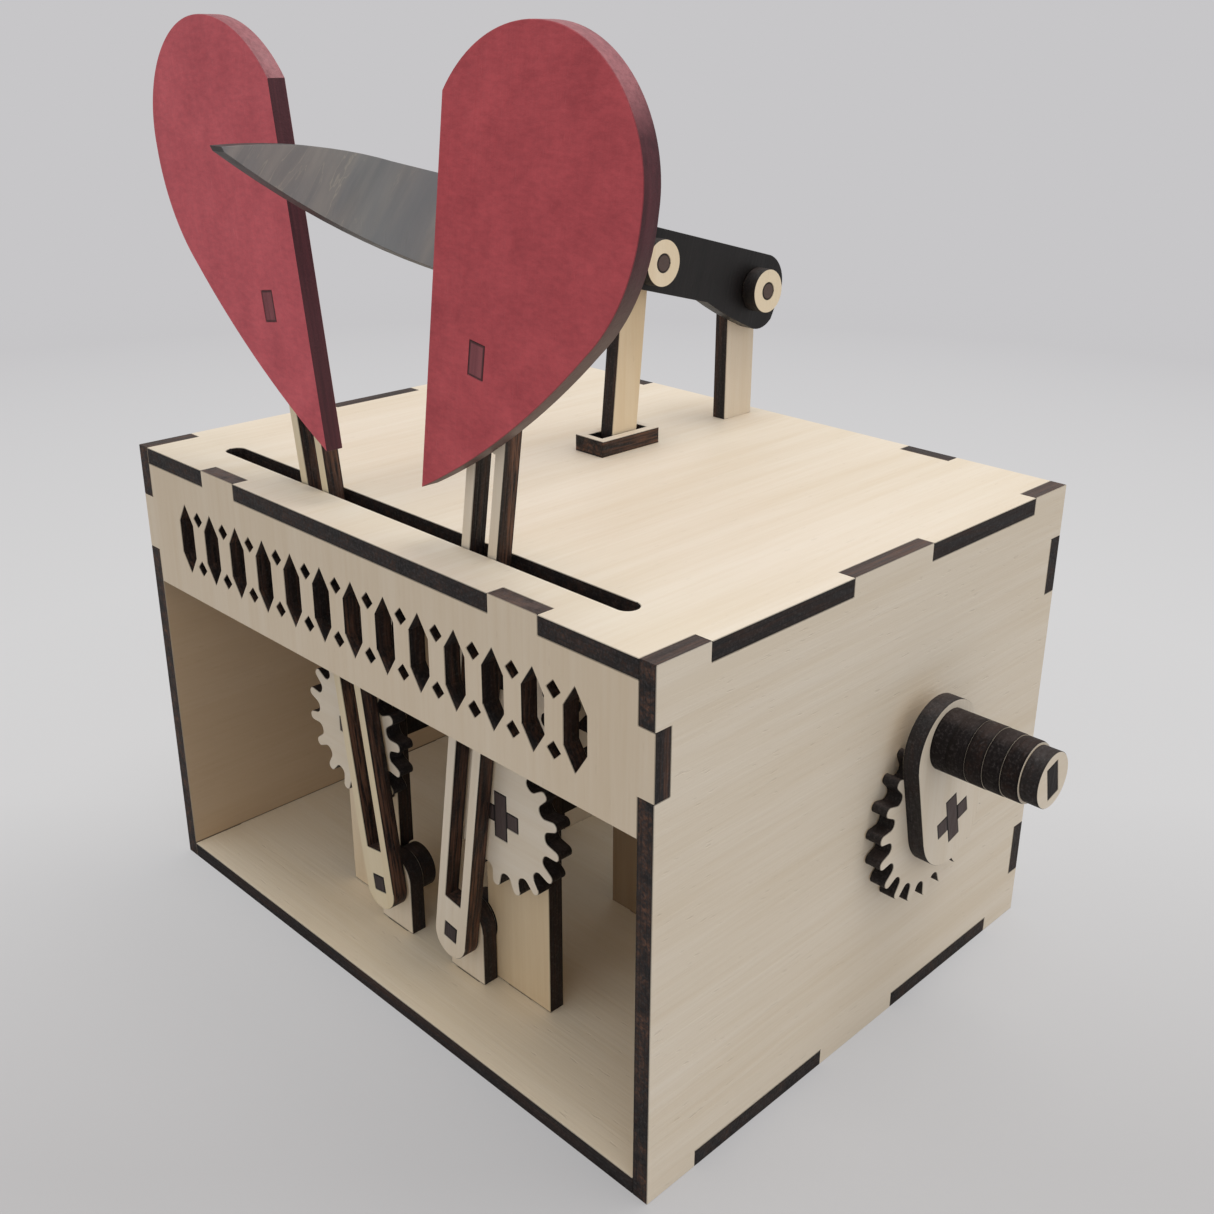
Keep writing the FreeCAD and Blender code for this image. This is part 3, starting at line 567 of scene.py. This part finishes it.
def shade_by_angle(form):
    """Shade a form smoothly, but keep the corners sharp."""
    for face in form.faces:
        face.smooth = True
    for edge in form.edges:
        normals = [face.normal for face in edge.link_faces]
        edge.smooth = len(normals) == 2 and normals[0].angle(normals[1]) < SHARPEST_SMOOTH


def new_piece(name, mesh, stands_for, body):
    """Put a finished mesh in the scene, in place of a construction piece."""
    piece = bpy.data.objects.new(name, mesh)
    bpy.context.scene.collection.objects.link(piece)
    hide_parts(stands_for)
    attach(piece, body)
    return piece


def stack_handle():
    low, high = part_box("handle_discs")
    centre = ((low[1] + high[1]) / 2, (low[2] + high[2]) / 2)
    radius = (high[2] - low[2]) / 2
    pitch = (high[0] - low[0]) / len(DISC_WEAR)
    form = bmesh.new()
    mesh = bpy.data.meshes.new("handle stack")
    for index, (wear, soft, brown) in enumerate(zip(DISC_WEAR, DISC_SOFTNESS, DISC_BROWN)):
        start = low[0] + index * pitch
        turn_disc(form, centre, start, start + pitch, radius - (wear + DISC_SHY) * MM, soft * MM, index)
        mesh.materials.append(plywood(f"handle_disc_{index}", AXES["x"], AXES["y"], HANDLE_SEED + index,
                                      start + pitch / 2, brown=brown, gloss=HANDLE_GLOSS))
    bmesh.ops.recalc_face_normals(form, faces=form.faces)
    shade_by_angle(form)
    form.to_mesh(mesh)
    form.free()
    return new_piece("stacked_handle", mesh, "handle_discs", "crankshaft")


handle = stack_handle()
print("handle faces", len(handle.data.polygons))

# %% [markdown]
# ## Slats, pegs and pins
# The shafts are two slats pushed together into a plus, and the pegs are small square
# sticks. What tells an eye that these are separate pieces is the thin black line round
# each end, where soot sits in the joint. It is drawn by how far a point lies from the
# end's border: near the border the mask is 1, and it fades to 0 a little further in.

# %% The black line round a peg, a pin, and two crossed slats
SOOT = (10, 7, 7)
LINE_SHARE = 0.9
KEY_LINE_SHARE = 0.7
PEG_LINE = (0.22 * MM, 0.42 * MM)
SLAT_LINE = (0.13 * MM, 0.30 * MM)
PIN_LINE = (0.16 * MM, 0.36 * MM)
HALF_PLY = 1.5 * MM
HALF_SLAT = 4.3 * MM


def reach_from(tree, centre, direction):
    """How far the point being shaded lies from a centre, along a direction."""
    away = vector_step(tree, "SUBTRACT", here(tree), centre)
    return math_step(tree, "ABSOLUTE", agree(tree, away, direction))


def build_peg_joint():
    """The line round the end of a square or flat peg."""
    group, given, result = shader_group(
        "peg joint",
        [("Centre", "Vector", (0, 0, 0)), ("Along", "Vector", AXES["z"]), ("Across", "Vector", AXES["x"]),
         ("Half Along", "Float", 0.001), ("Half Across", "Float", 0.001)],
        [("Line", "Float")])
    centre, along, across, half_along, half_across = given.outputs[:5]
    inside_along = minus(group, half_along, reach_from(group, centre, along))
    inside_across = minus(group, half_across, reach_from(group, centre, across))
    nearest = math_step(group, "MINIMUM", inside_along, inside_across)
    group.links.new(remap(group, nearest, *PEG_LINE, 1.0, 0.0), result.inputs[0])
    return group


def build_pin_joint():
    """The line round the end of a round pin that runs along x."""
    group, given, result = shader_group(
        "pin joint", [("Centre", "Vector", (0, 0, 0)), ("Radius", "Float", 0.0015)], [("Line", "Float")])
    away = vector_step(group, "SUBTRACT", here(group), given.outputs[0])
    flat = vector_step(group, "MULTIPLY", away, (0, 1, 1))
    reach = place(group, "VectorMath", {0: flat}, operation="LENGTH").outputs["Value"]
    inside = minus(group, given.outputs[1], reach)
    group.links.new(remap(group, inside, *PIN_LINE, 1.0, 0.0), result.inputs[0])
    return group


def build_slat_joint():
    """The lines of two crossed slats: one runs through, and the other is split by it."""
    group, given, result = shader_group(
        "slat joint",
        [("Centre", "Vector", (0, 0, 0)), ("Along", "Vector", AXES["z"]), ("Across", "Vector", AXES["x"])],
        [("Line", "Float")])
    along = reach_from(group, given.outputs[0], given.outputs[1])
    across = reach_from(group, given.outputs[0], given.outputs[2])

    def near(reach, border):
        off = math_step(group, "ABSOLUTE", minus(group, reach, border))
        return remap(group, off, *SLAT_LINE, 1.0, 0.0)

    def either(first, second):
        return math_step(group, "MAXIMUM", first, second)

    through = near(across, HALF_PLY)
    split = times(group, near(along, HALF_PLY), math_step(group, "GREATER_THAN", across, HALF_PLY))
    ends = either(near(along, HALF_SLAT), near(across, HALF_SLAT))
    group.links.new(either(either(through, split), ends), result.inputs[0])
    return group


def draw_joint(material, group, inputs, share=LINE_SHARE):
    """Draw a joint's black line over a finished material."""
    tree = material.node_tree
    line = use_group(tree, group, inputs).outputs[0]
    paint_over(material, times(tree, line, share), SOOT)


PEG_JOINT = build_peg_joint()
PIN_JOINT = build_pin_joint()
SLAT_JOINT = build_slat_joint()
print("groups", PEG_JOINT.name, PIN_JOINT.name, SLAT_JOINT.name)

# %% [markdown]
# ## Charred all over
# All that shows of a slat or a peg is its cut ends and sides, so it needs no mask: the
# char covers the whole piece. The char pattern darkens by the distance from the sheet's
# middle, so a middle that is metres away makes all of it as dark as a rim. A lighter tint
# over that keeps the joint's black line in sight. The round pins show a greyer end.

# %% The charred pieces
FAR_MIDDLE = 10.0
DIAGONAL = (0.577, 0.577, 0.577)
CHAR_RELIEF = 0.05 * MM
CHAR_GLOSS = 0.3
SHAFT_TINT = (90, 77, 75)
PEG_TINT = (70, 60, 61)
HANDLE_PEG_TINT = (30, 25, 25)
PIN_TINT = (104, 88, 84)
PEG_SHARE = 0.8
PIN_SHARE = 0.75
HALF_PEG = 1.6 * MM
HALF_HANDLE_PEG = 2.9 * MM
PIN_RADIUS = (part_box("rear_knife_pin")[1][2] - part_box("rear_knife_pin")[0][2]) / 2


def all_char(name, grain, seed, brown, tint, share):
    material, tree, shader = new_material(name + " char")
    char = use_group(tree, LASER_CHAR, {
        "Thickness": DIAGONAL, "Grain": grain, "Middle": FAR_MIDDLE, "Seed": seed, "Brown": brown,
        "Rub And Sheen": 0.0}).outputs
    base = blend_colours(tree, share, char["Color"], colour(*tint))
    finish_surface(tree, shader, base, char["Roughness"], char["Height"], CHAR_RELIEF, CHAR_GLOSS)
    return material


def square_to(lean):
    """The direction across one that leans in the plane of the front."""
    return (lean[2], 0.0, -lean[0])


CRANK_LEAN = math.radians(14.1)
CRANK_AXES = ((0.0, -math.sin(CRANK_LEAN), math.cos(CRANK_LEAN)),
              (0.0, math.cos(CRANK_LEAN), math.sin(CRANK_LEAN)))
JOINT_AXES = {"handle_peg": CRANK_AXES, "right_crank_shaft": CRANK_AXES, "left_crank_shaft": CRANK_AXES}
CHARRED = {"handle_peg": 0.3, "right_crank_shaft": 0.8, "left_crank_shaft": 0.8}
for side in SIDES:
    JOINT_AXES[f"{side}_arm_pivot_peg"] = (LEAN[side], square_to(LEAN[side]))
    for part in ("gear_shaft", "upper_gear_shaft", "drive_peg", "arm_pivot_peg"):
        CHARRED[f"{side}_{part}"] = 0.6
for number, (name, brown) in enumerate(sorted(CHARRED.items())):
    tint = SHAFT_TINT if name.endswith("shaft") else PEG_TINT
    half_along, half_across = HALF_PEG, HALF_PEG
    if name == "handle_peg":
        tint = HANDLE_PEG_TINT
        half_along, half_across = HALF_HANDLE_PEG, HALF_PLY
    finish = all_char(name, AXES["z"], 1.3 * number, brown, tint, PEG_SHARE)
    along, across = JOINT_AXES.get(name, (AXES["z"], AXES["x"]))
    where = {"Centre": middle_of(name), "Along": along, "Across": across}
    if name.endswith("_shaft") and "upper" not in name:
        draw_joint(finish, SLAT_JOINT, where)
    else:
        draw_joint(finish, PEG_JOINT, {**where, "Half Along": half_along, "Half Across": half_across})
    dress(name, finish)
PINS = ("rear_knife_pin", "front_knife_pin", "crank_pin")
for number, name in enumerate(PINS):
    finish = all_char(name, AXES["x"], 2.1 * number + 5.0, 1.8, PIN_TINT, PIN_SHARE)
    draw_joint(finish, PIN_JOINT, {"Centre": middle_of(name), "Radius": PIN_RADIUS})
    dress(name, finish)
print("charred pieces", len(CHARRED) + len(PINS))

# %% [markdown]
# ## The stained heart
# The halves are dyed with a crimson wood stain. Stain soaks unevenly into birch, so the
# face is mottled in soft clouds with fine darker pores and the faint wipes of the rag, and
# the left half is a little lighter. The cut edge, which was burnt first, comes out a deep
# plum, pinker along the top, partly where it was wiped and partly a painted highlight for
# the light from above, and brown underneath.

# %% The recipe for stained plywood
STAIN_GLOSS = 0.35


def stained_edge(tree, streak, pores, plum, plum_deep, wipe_and_sheen, under):
    """The dyed cut edge: pinker where it looks up, partly wiped and partly a painted highlight; brown
    where it looks down.
    """
    rim = blend_colours(tree, streak, colour(*plum_deep), colour(*plum))
    up = facing(tree, AXES["z"])
    # Painted highlight and wiping together: the edge turns pinker where it looks up.
    wiping_and_sheen = times(tree, remap(tree, up, 0.30, 0.60), remap(tree, pores, 0.0, 1.0, 0.55, 0.95))
    rim = blend_colours(tree, wiping_and_sheen, rim, colour(*wipe_and_sheen))
    return blend_colours(tree, remap(tree, up, -0.25, -0.55, 0.0, 0.8), rim, colour(*under))


def stained(name, thickness, grain, seed, pale, deep, edge_stain, wipe=AXES["z"]):
    """Dyed birch; wipe is the way that the rag went."""
    material, tree, shader = new_material(name + " stain")
    edge = use_group(tree, CUT_EDGE_MASK, {"Thickness": thickness}).outputs[0]
    figure = use_group(tree, BIRCH_FIGURE, {"Grain": grain, "Seed": seed}).outputs
    soak = noise(tree, along_grain(tree, grain, 1.15, seed + 3.0), 150.0, 5.0, Roughness=0.6)
    fine = noise(tree, along_grain(tree, AXES["x"], 2.4, seed + 4.0), 1300.0, 3.0, Roughness=0.7)
    wipes = noise(tree, along_grain(tree, wipe, 6.0, seed + 5.0), 210.0, 3.0)
    mottle = remap(tree, soak, 0.30, 0.70)
    pores = remap(tree, fine, 0.32, 0.66)
    tone = weigh(tree, (mottle, 0.45), (pores, 0.37), (remap(tree, wipes, 0.32, 0.68), 0.18))
    face = blend_colours(tree, tone, colour(*deep), colour(*pale))
    rim = stained_edge(tree, figure["Streak"], pores, **edge_stain)
    base = blend_colours(tree, edge, face, rim)
    rough = remap(tree, mottle, 0.0, 1.0, 0.60, 0.48)
    height = math_step(tree, "ADD", figure["Height"], pores)
    finish_surface(tree, shader, base, rough, height, FACE_RELIEF, STAIN_GLOSS)
    return material


print("stain recipe ready")

# %% The two halves and the keys that hold them
# Each half: its seed, its two crimsons and the way that the rag went.
HALVES = {"right": (4.2, (210, 87, 95), (168, 64, 73), (0.76, 0.0, 0.65)),
          "left": (7.9, (220, 98, 108), (180, 75, 86), (0.1, 0.0, 1.0))}
EDGE_STAIN = {"plum": (96, 48, 56), "plum_deep": (62, 30, 38), "wipe_and_sheen": (172, 108, 114),
              "under": (92, 72, 68)}
KEY_PALE = (148, 80, 86)
KEY_DEEP = (122, 62, 70)
KEY_EDGE = {"plum": KEY_PALE, "plum_deep": KEY_DEEP, "wipe_and_sheen": KEY_PALE, "under": KEY_PALE}
HALF_KEY = 2.5 * MM
for side, (seed, pale, deep, wipe) in HALVES.items():
    half, key, lean = f"{side}_heart_half", f"{side}_heart_key", LEAN[side]
    dress(half, stained(half, AXES["y"], lean, seed, pale, deep, EDGE_STAIN, wipe))
    key_finish = stained(key, AXES["z"], lean, seed + 1.0, KEY_PALE, KEY_DEEP, KEY_EDGE)
    draw_joint(key_finish, PEG_JOINT, {
        "Centre": middle_of(key), "Along": lean, "Across": square_to(lean),
        "Half Along": HALF_KEY, "Half Across": HALF_PEG}, KEY_LINE_SHARE)
    dress(key, key_finish)
print("stained pieces", 2 * len(HALVES))

# %% [markdown]
# ## The knife
# The toy knife is one flat piece of plywood: its blade is stained grey, with the veneer's
# figure running across it, and its handle is black. The border between them lies at the
# bolster, so the colour is chosen by how far a point lies from the knife's pin.

# %% The knife's two stains
KNIFE_PIN = next(tuple(joint["pos_m"]) for joint in BEHAVIOUR["joints"] if joint["name"] == "knife_chop")
KNIFE_TILT = math.radians(14.3)
KNIFE_AHEAD = (0.0, -math.cos(KNIFE_TILT), math.sin(KNIFE_TILT))
KNIFE_ACROSS = (0.0, math.sin(KNIFE_TILT), math.cos(KNIFE_TILT))
FIGURE_SLANT = math.radians(24)
KNIFE_FIGURE = (0.0, math.sin(KNIFE_TILT + FIGURE_SLANT), math.cos(KNIFE_TILT + FIGURE_SLANT))
BOLSTER_AT = 48.5 * MM
BOLSTER_BLUR = 0.2 * MM
KNIFE_GLOSS = 0.4
BLADE_DARK = (128, 128, 129)
BLADE_WARM = (156, 152, 148)
BLADE_COOL = (124, 128, 133)
BLADE_VEIN = (186, 178, 164)
BLADE_EDGE = (52, 48, 47)
GRIP_DARK = (11, 9, 10)
GRIP_WORN = (22, 18, 19)
GRIP_EDGE = (14, 12, 13)


def knife_stain():
    material, tree, shader = new_material("knife stain")
    edge = use_group(tree, CUT_EDGE_MASK, {"Thickness": AXES["x"]}).outputs[0]
    figure = use_group(tree, BIRCH_FIGURE, {"Grain": KNIFE_ACROSS, "Seed": 11.0}).outputs
    wavy = along_grain(tree, KNIFE_FIGURE, 6.0, 2.0)
    waves = noise(tree, wavy, 330.0, 4.0, Distortion=0.25)
    clouds = noise(tree, wavy, 150.0, 2.0, Distortion=0.3)
    figured = remap(tree, waves, 0.34, 0.68)
    vein = remap(tree, math_step(tree, "ABSOLUTE", minus(tree, waves, 0.50)), 0.0, 0.009, 1.0, 0.0)
    broken = times(tree, vein, remap(tree, clouds, 0.46, 0.62, 0.0, 0.42))
    warm = blend_colours(tree, figured, colour(*BLADE_DARK), colour(*BLADE_WARM))
    cool = remap(tree, clouds, 0.40, 0.58, 0.75, 0.0)
    steel = blend_colours(tree, cool, warm, colour(*BLADE_COOL))
    veined = blend_colours(tree, broken, steel, colour(*BLADE_VEIN))
    black = blend_colours(tree, figure["Streak"], colour(*GRIP_DARK), colour(*GRIP_WORN))
    from_pin = vector_step(tree, "SUBTRACT", here(tree), KNIFE_PIN)
    is_blade = remap(tree, agree(tree, from_pin, KNIFE_AHEAD),
                     BOLSTER_AT - BOLSTER_BLUR, BOLSTER_AT + BOLSTER_BLUR)
    face = blend_colours(tree, is_blade, black, veined)
    rim = blend_colours(tree, is_blade, colour(*GRIP_EDGE), colour(*BLADE_EDGE))
    base = blend_colours(tree, edge, face, rim)
    rough = remap(tree, figured, 0.0, 1.0, 0.52, 0.42)
    finish_surface(tree, shader, base, rough, figure["Height"], FACE_RELIEF, KNIFE_GLOSS)
    return material


dress("knife", knife_stain())
print("knife stained")

# %% [markdown]
# ## Rounding the gear teeth
# The construction gears have straight-sided teeth, which is all that the mechanism needs.
# The laser followed rounder ones, with soft tips and hollows. Each gear is copied, its
# loose triangles are joined to clean faces, and the corners that run through its
# thickness are bevelled in two goes: widely in the hollows, less at the tips. A wide
# bevel in several steps turns flat cuts into one curve.

# %% Gears with rounded teeth
WELD = 0.002 * MM
FLAT_WITHIN = math.radians(1)
# Each go: how far in from the gear's reach its corners start and end, its width, its steps.
HOLLOWS = (3.6 * MM, 2.4 * MM, 0.75 * MM, 4)
TIPS = (0.9 * MM, -0.5 * MM, 0.30 * MM, 3)
BODY_OF = {node: body for body, nodes in BEHAVIOUR["bodies"].items() for node in nodes}


def through_edges(form, axis, middle, nearest, farthest):
    """The edges that run through a plate's thickness between two distances from its middle."""
    found = []
    for edge in form.edges:
        along = (edge.verts[1].co - edge.verts[0].co).normalized()
        out = edge.verts[0].co - middle
        out -= axis * out.dot(axis)
        if abs(along.dot(axis)) > 0.99 and nearest < out.length < farthest and len(edge.link_faces) == 2:
            found.append(edge)
    return found


def round_teeth(name, axis):
    """A copy of a gear whose tooth corners are rounded; it takes the gear's place."""
    low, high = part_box(name)
    middle = Vector(middle_of(name))
    reach = max(high[i] - low[i] for i in range(3)) / 2
    form = bmesh.new()
    form.from_mesh(NODES[name].data)
    bmesh.ops.remove_doubles(form, verts=form.verts, dist=WELD)
    bmesh.ops.dissolve_limit(form, angle_limit=FLAT_WITHIN, verts=form.verts, edges=form.edges)
    rounded = 0
    for inner, outer, width, steps in (HOLLOWS, TIPS):
        corners = through_edges(form, Vector(axis), middle, reach - inner, reach - outer)
        bmesh.ops.bevel(form, geom=corners, offset=width, offset_type="OFFSET", segments=steps,
                        profile=0.5, affect="EDGES", material=-1, clamp_overlap=True)
        rounded += len(corners)
    bmesh.ops.recalc_face_normals(form, faces=form.faces)
    mesh = bpy.data.meshes.new("rounded " + name)
    form.to_mesh(mesh)
    form.free()
    mesh.materials.append(NODES[name].material_slots[0].material)
    return new_piece("rounded_" + name, mesh, name, BODY_OF[name]), rounded


ROUNDED = []
for name, (axis, _) in SHEETS.items():
    if name.endswith("_gear"):
        gear, count = round_teeth(name, AXES[axis])
        ROUNDED.append(gear)
        print("rounded", name, "corners", count)

# %% [markdown]
# ## Rounding the crisp corners
# A laser leaves corners sharp, yet even a sharp corner catches a thread of light. The
# construction model's triangles don't share vertices, so a Weld joins them first. A
# Decimate set to Planar then merges the triangles of each flat face, so that no bevel
# leaves a crease across it. Last, a Bevel of a tenth of a millimetre softens each real
# corner. All three are modifiers, so the construction piece itself stays as it is.

# %% Weld, flatten and soften every piece
CORNER = 0.09 * MM
COPLANAR_WITHIN = math.radians(0.5)
CORNER_OVER = math.radians(35)
for piece in list(NODES.values()) + ROUNDED:
    weld = piece.modifiers.new("Weld", "WELD")
    weld.merge_threshold = WELD
    flat = piece.modifiers.new("Flat", "DECIMATE")
    flat.decimate_type = "DISSOLVE"
    flat.angle_limit = COPLANAR_WITHIN
    soften = piece.modifiers.new("Soften", "BEVEL")
    soften.width = CORNER
    soften.segments = 1
    soften.limit_method = "ANGLE"
    soften.angle_limit = CORNER_OVER
print("softened", len(NODES) + len(ROUNDED))

# %% [markdown]
# ## The room
# A pale sheet of paper under the box, a soft sky of white light, and one large lamp
# overhead, a little towards the crank. The paper runs out of sight. The camera sees part
# of it in a steady grey of its own, the more so the farther from the box. Near the box that
# grey is darker before it, a painted shadow, and lighter behind it, painted light. The sky
# shows it the grey in which the paper ends. So the box keeps its soft shadow, yet no
# horizon can be seen.

# %% The paper floor
PAPER = (196, 195, 196)
FAR_GREY = colour(199, 198, 200)
BEHIND = (-0.707, 0.707, 0.0)
# Near the box the grey that is seen is darker before it, a painted shadow, and lighter behind it, painted
# light.
FRONT_SHADOW_GREY = (192, 191, 192)
BACK_LIT_GREY = (222, 222, 223)
FLOOR_RADIUS = 6.0
NEAR_SHARE = 0.6
# Distances from the box's middle, in metres, over which one grey turns into the next.
FRONT_TO_BACK = (-0.075, 0.03)
NEAR_TO_FAR = (0.2, 0.55)
LIT_TO_STEADY = (0.12, 0.7)


def paper_floor():
    form = bmesh.new()
    bmesh.ops.create_circle(form, cap_ends=True, segments=64, radius=FLOOR_RADIUS)
    mesh = bpy.data.meshes.new("paper floor")
    form.to_mesh(mesh)
    form.free()
    floor = bpy.data.objects.new("paper_floor", mesh)
    bpy.context.scene.collection.objects.link(floor)
    material, tree, shader = new_material("paper")
    shader.inputs["Base Color"].default_value = colour(*PAPER)
    shader.inputs["Roughness"].default_value = 0.9
    shader.inputs["Specular IOR Level"].default_value = 0.1
    point = here(tree)
    reach = place(tree, "VectorMath", {0: point}, operation="LENGTH").outputs["Value"]
    # Painted shadow before the box and painted light behind it, in the grey that the camera sees.
    behind = remap(tree, agree(tree, point, BEHIND), *FRONT_TO_BACK)
    near_shadow_and_light = blend_colours(tree, behind, colour(*FRONT_SHADOW_GREY), colour(*BACK_LIT_GREY))
    seen = blend_colours(tree, remap(tree, reach, *NEAR_TO_FAR), near_shadow_and_light, FAR_GREY)
    steady = place(tree, "Emission", {"Color": seen, "Strength": 1.0})
    fade = place(tree, "MapRange", {
        "Value": reach, "From Min": LIT_TO_STEADY[0], "From Max": LIT_TO_STEADY[1],
        "To Min": NEAR_SHARE, "To Max": 1.0}, interpolation_type="SMOOTHSTEP").outputs[0]
    camera_sees = place(tree, "LightPath").outputs["Is Camera Ray"]
    mix = place(tree, "MixShader", {
        0: times(tree, fade, camera_sees), 1: shader.outputs[0], 2: steady.outputs[0]})
    tree.links.new(mix.outputs[0], tree.nodes["Material Output"].inputs["Surface"])
    mesh.materials.append(material)
    return floor


print("floor", paper_floor().name)

# %% Sky and lamp
SKY_STRENGTH = 0.63
SKY_TINT = (1.0, 0.99, 0.98, 1.0)
LAMP_AT = (0.18, 0.14, 1.10)
LAMP_AIMS_AT = (0, 0, 0.06)
LAMP_SIZE = 0.7
LAMP_WATTS = 5.4
LAMP_TINT = (1.0, 0.98, 0.95)


def soft_sky():
    world = bpy.data.worlds.new("soft sky")
    world.use_nodes = True
    bpy.context.scene.world = world
    tree = world.node_tree
    tree.nodes.clear()
    seen = place(tree, "Background", {"Color": FAR_GREY, "Strength": 1.0})
    light = place(tree, "Background", {"Color": SKY_TINT, "Strength": SKY_STRENGTH})
    camera_sees = place(tree, "LightPath").outputs["Is Camera Ray"]
    pick = place(tree, "MixShader", {0: camera_sees, 1: light.outputs[0], 2: seen.outputs[0]})
    out = place(tree, "OutputWorld")
    tree.links.new(pick.outputs[0], out.inputs["Surface"])


def overhead_lamp():
    data = bpy.data.lights.new("overhead lamp", "AREA")
    data.shape = "DISK"
    data.size = LAMP_SIZE
    data.energy = LAMP_WATTS
    data.color = LAMP_TINT
    light = bpy.data.objects.new("overhead lamp", data)
    bpy.context.scene.collection.objects.link(light)
    light.location = LAMP_AT
    toward = Vector(LAMP_AIMS_AT) - Vector(LAMP_AT)
    light.rotation_euler = toward.to_track_quat("-Z", "Y").to_euler()


soft_sky()
overhead_lamp()
print("sky", SKY_STRENGTH, "lamp", LAMP_WATTS, "W")

# %% [markdown]
# ## The camera
# The photograph was taken from close by, a little above the box's top, which makes the
# box's sides run together towards the floor. The place, the turn and the lens below
# bring the box's corners where the photograph has them.

# %% Camera
CAMERA_AT = (0.168625, -0.161834, 0.159367)
CAMERA_TURN = (68.3523, -0.7664, 43.9674)
LENS = 40.95
SENSOR = 36.0
SHIFT = (-0.0315, -0.0319)
view = bpy.data.cameras.new("camera")
view.sensor_width = SENSOR
view.lens = LENS
view.shift_x, view.shift_y = SHIFT
view.clip_start = 0.01
camera = bpy.data.objects.new("camera", view)
camera.location = CAMERA_AT
camera.rotation_euler = [math.radians(turn) for turn in CAMERA_TURN]
bpy.context.scene.collection.objects.link(camera)
bpy.context.scene.camera = camera
bpy.context.scene.view_settings.view_transform = "Standard"
print("camera at", CAMERA_AT, "lens", LENS)
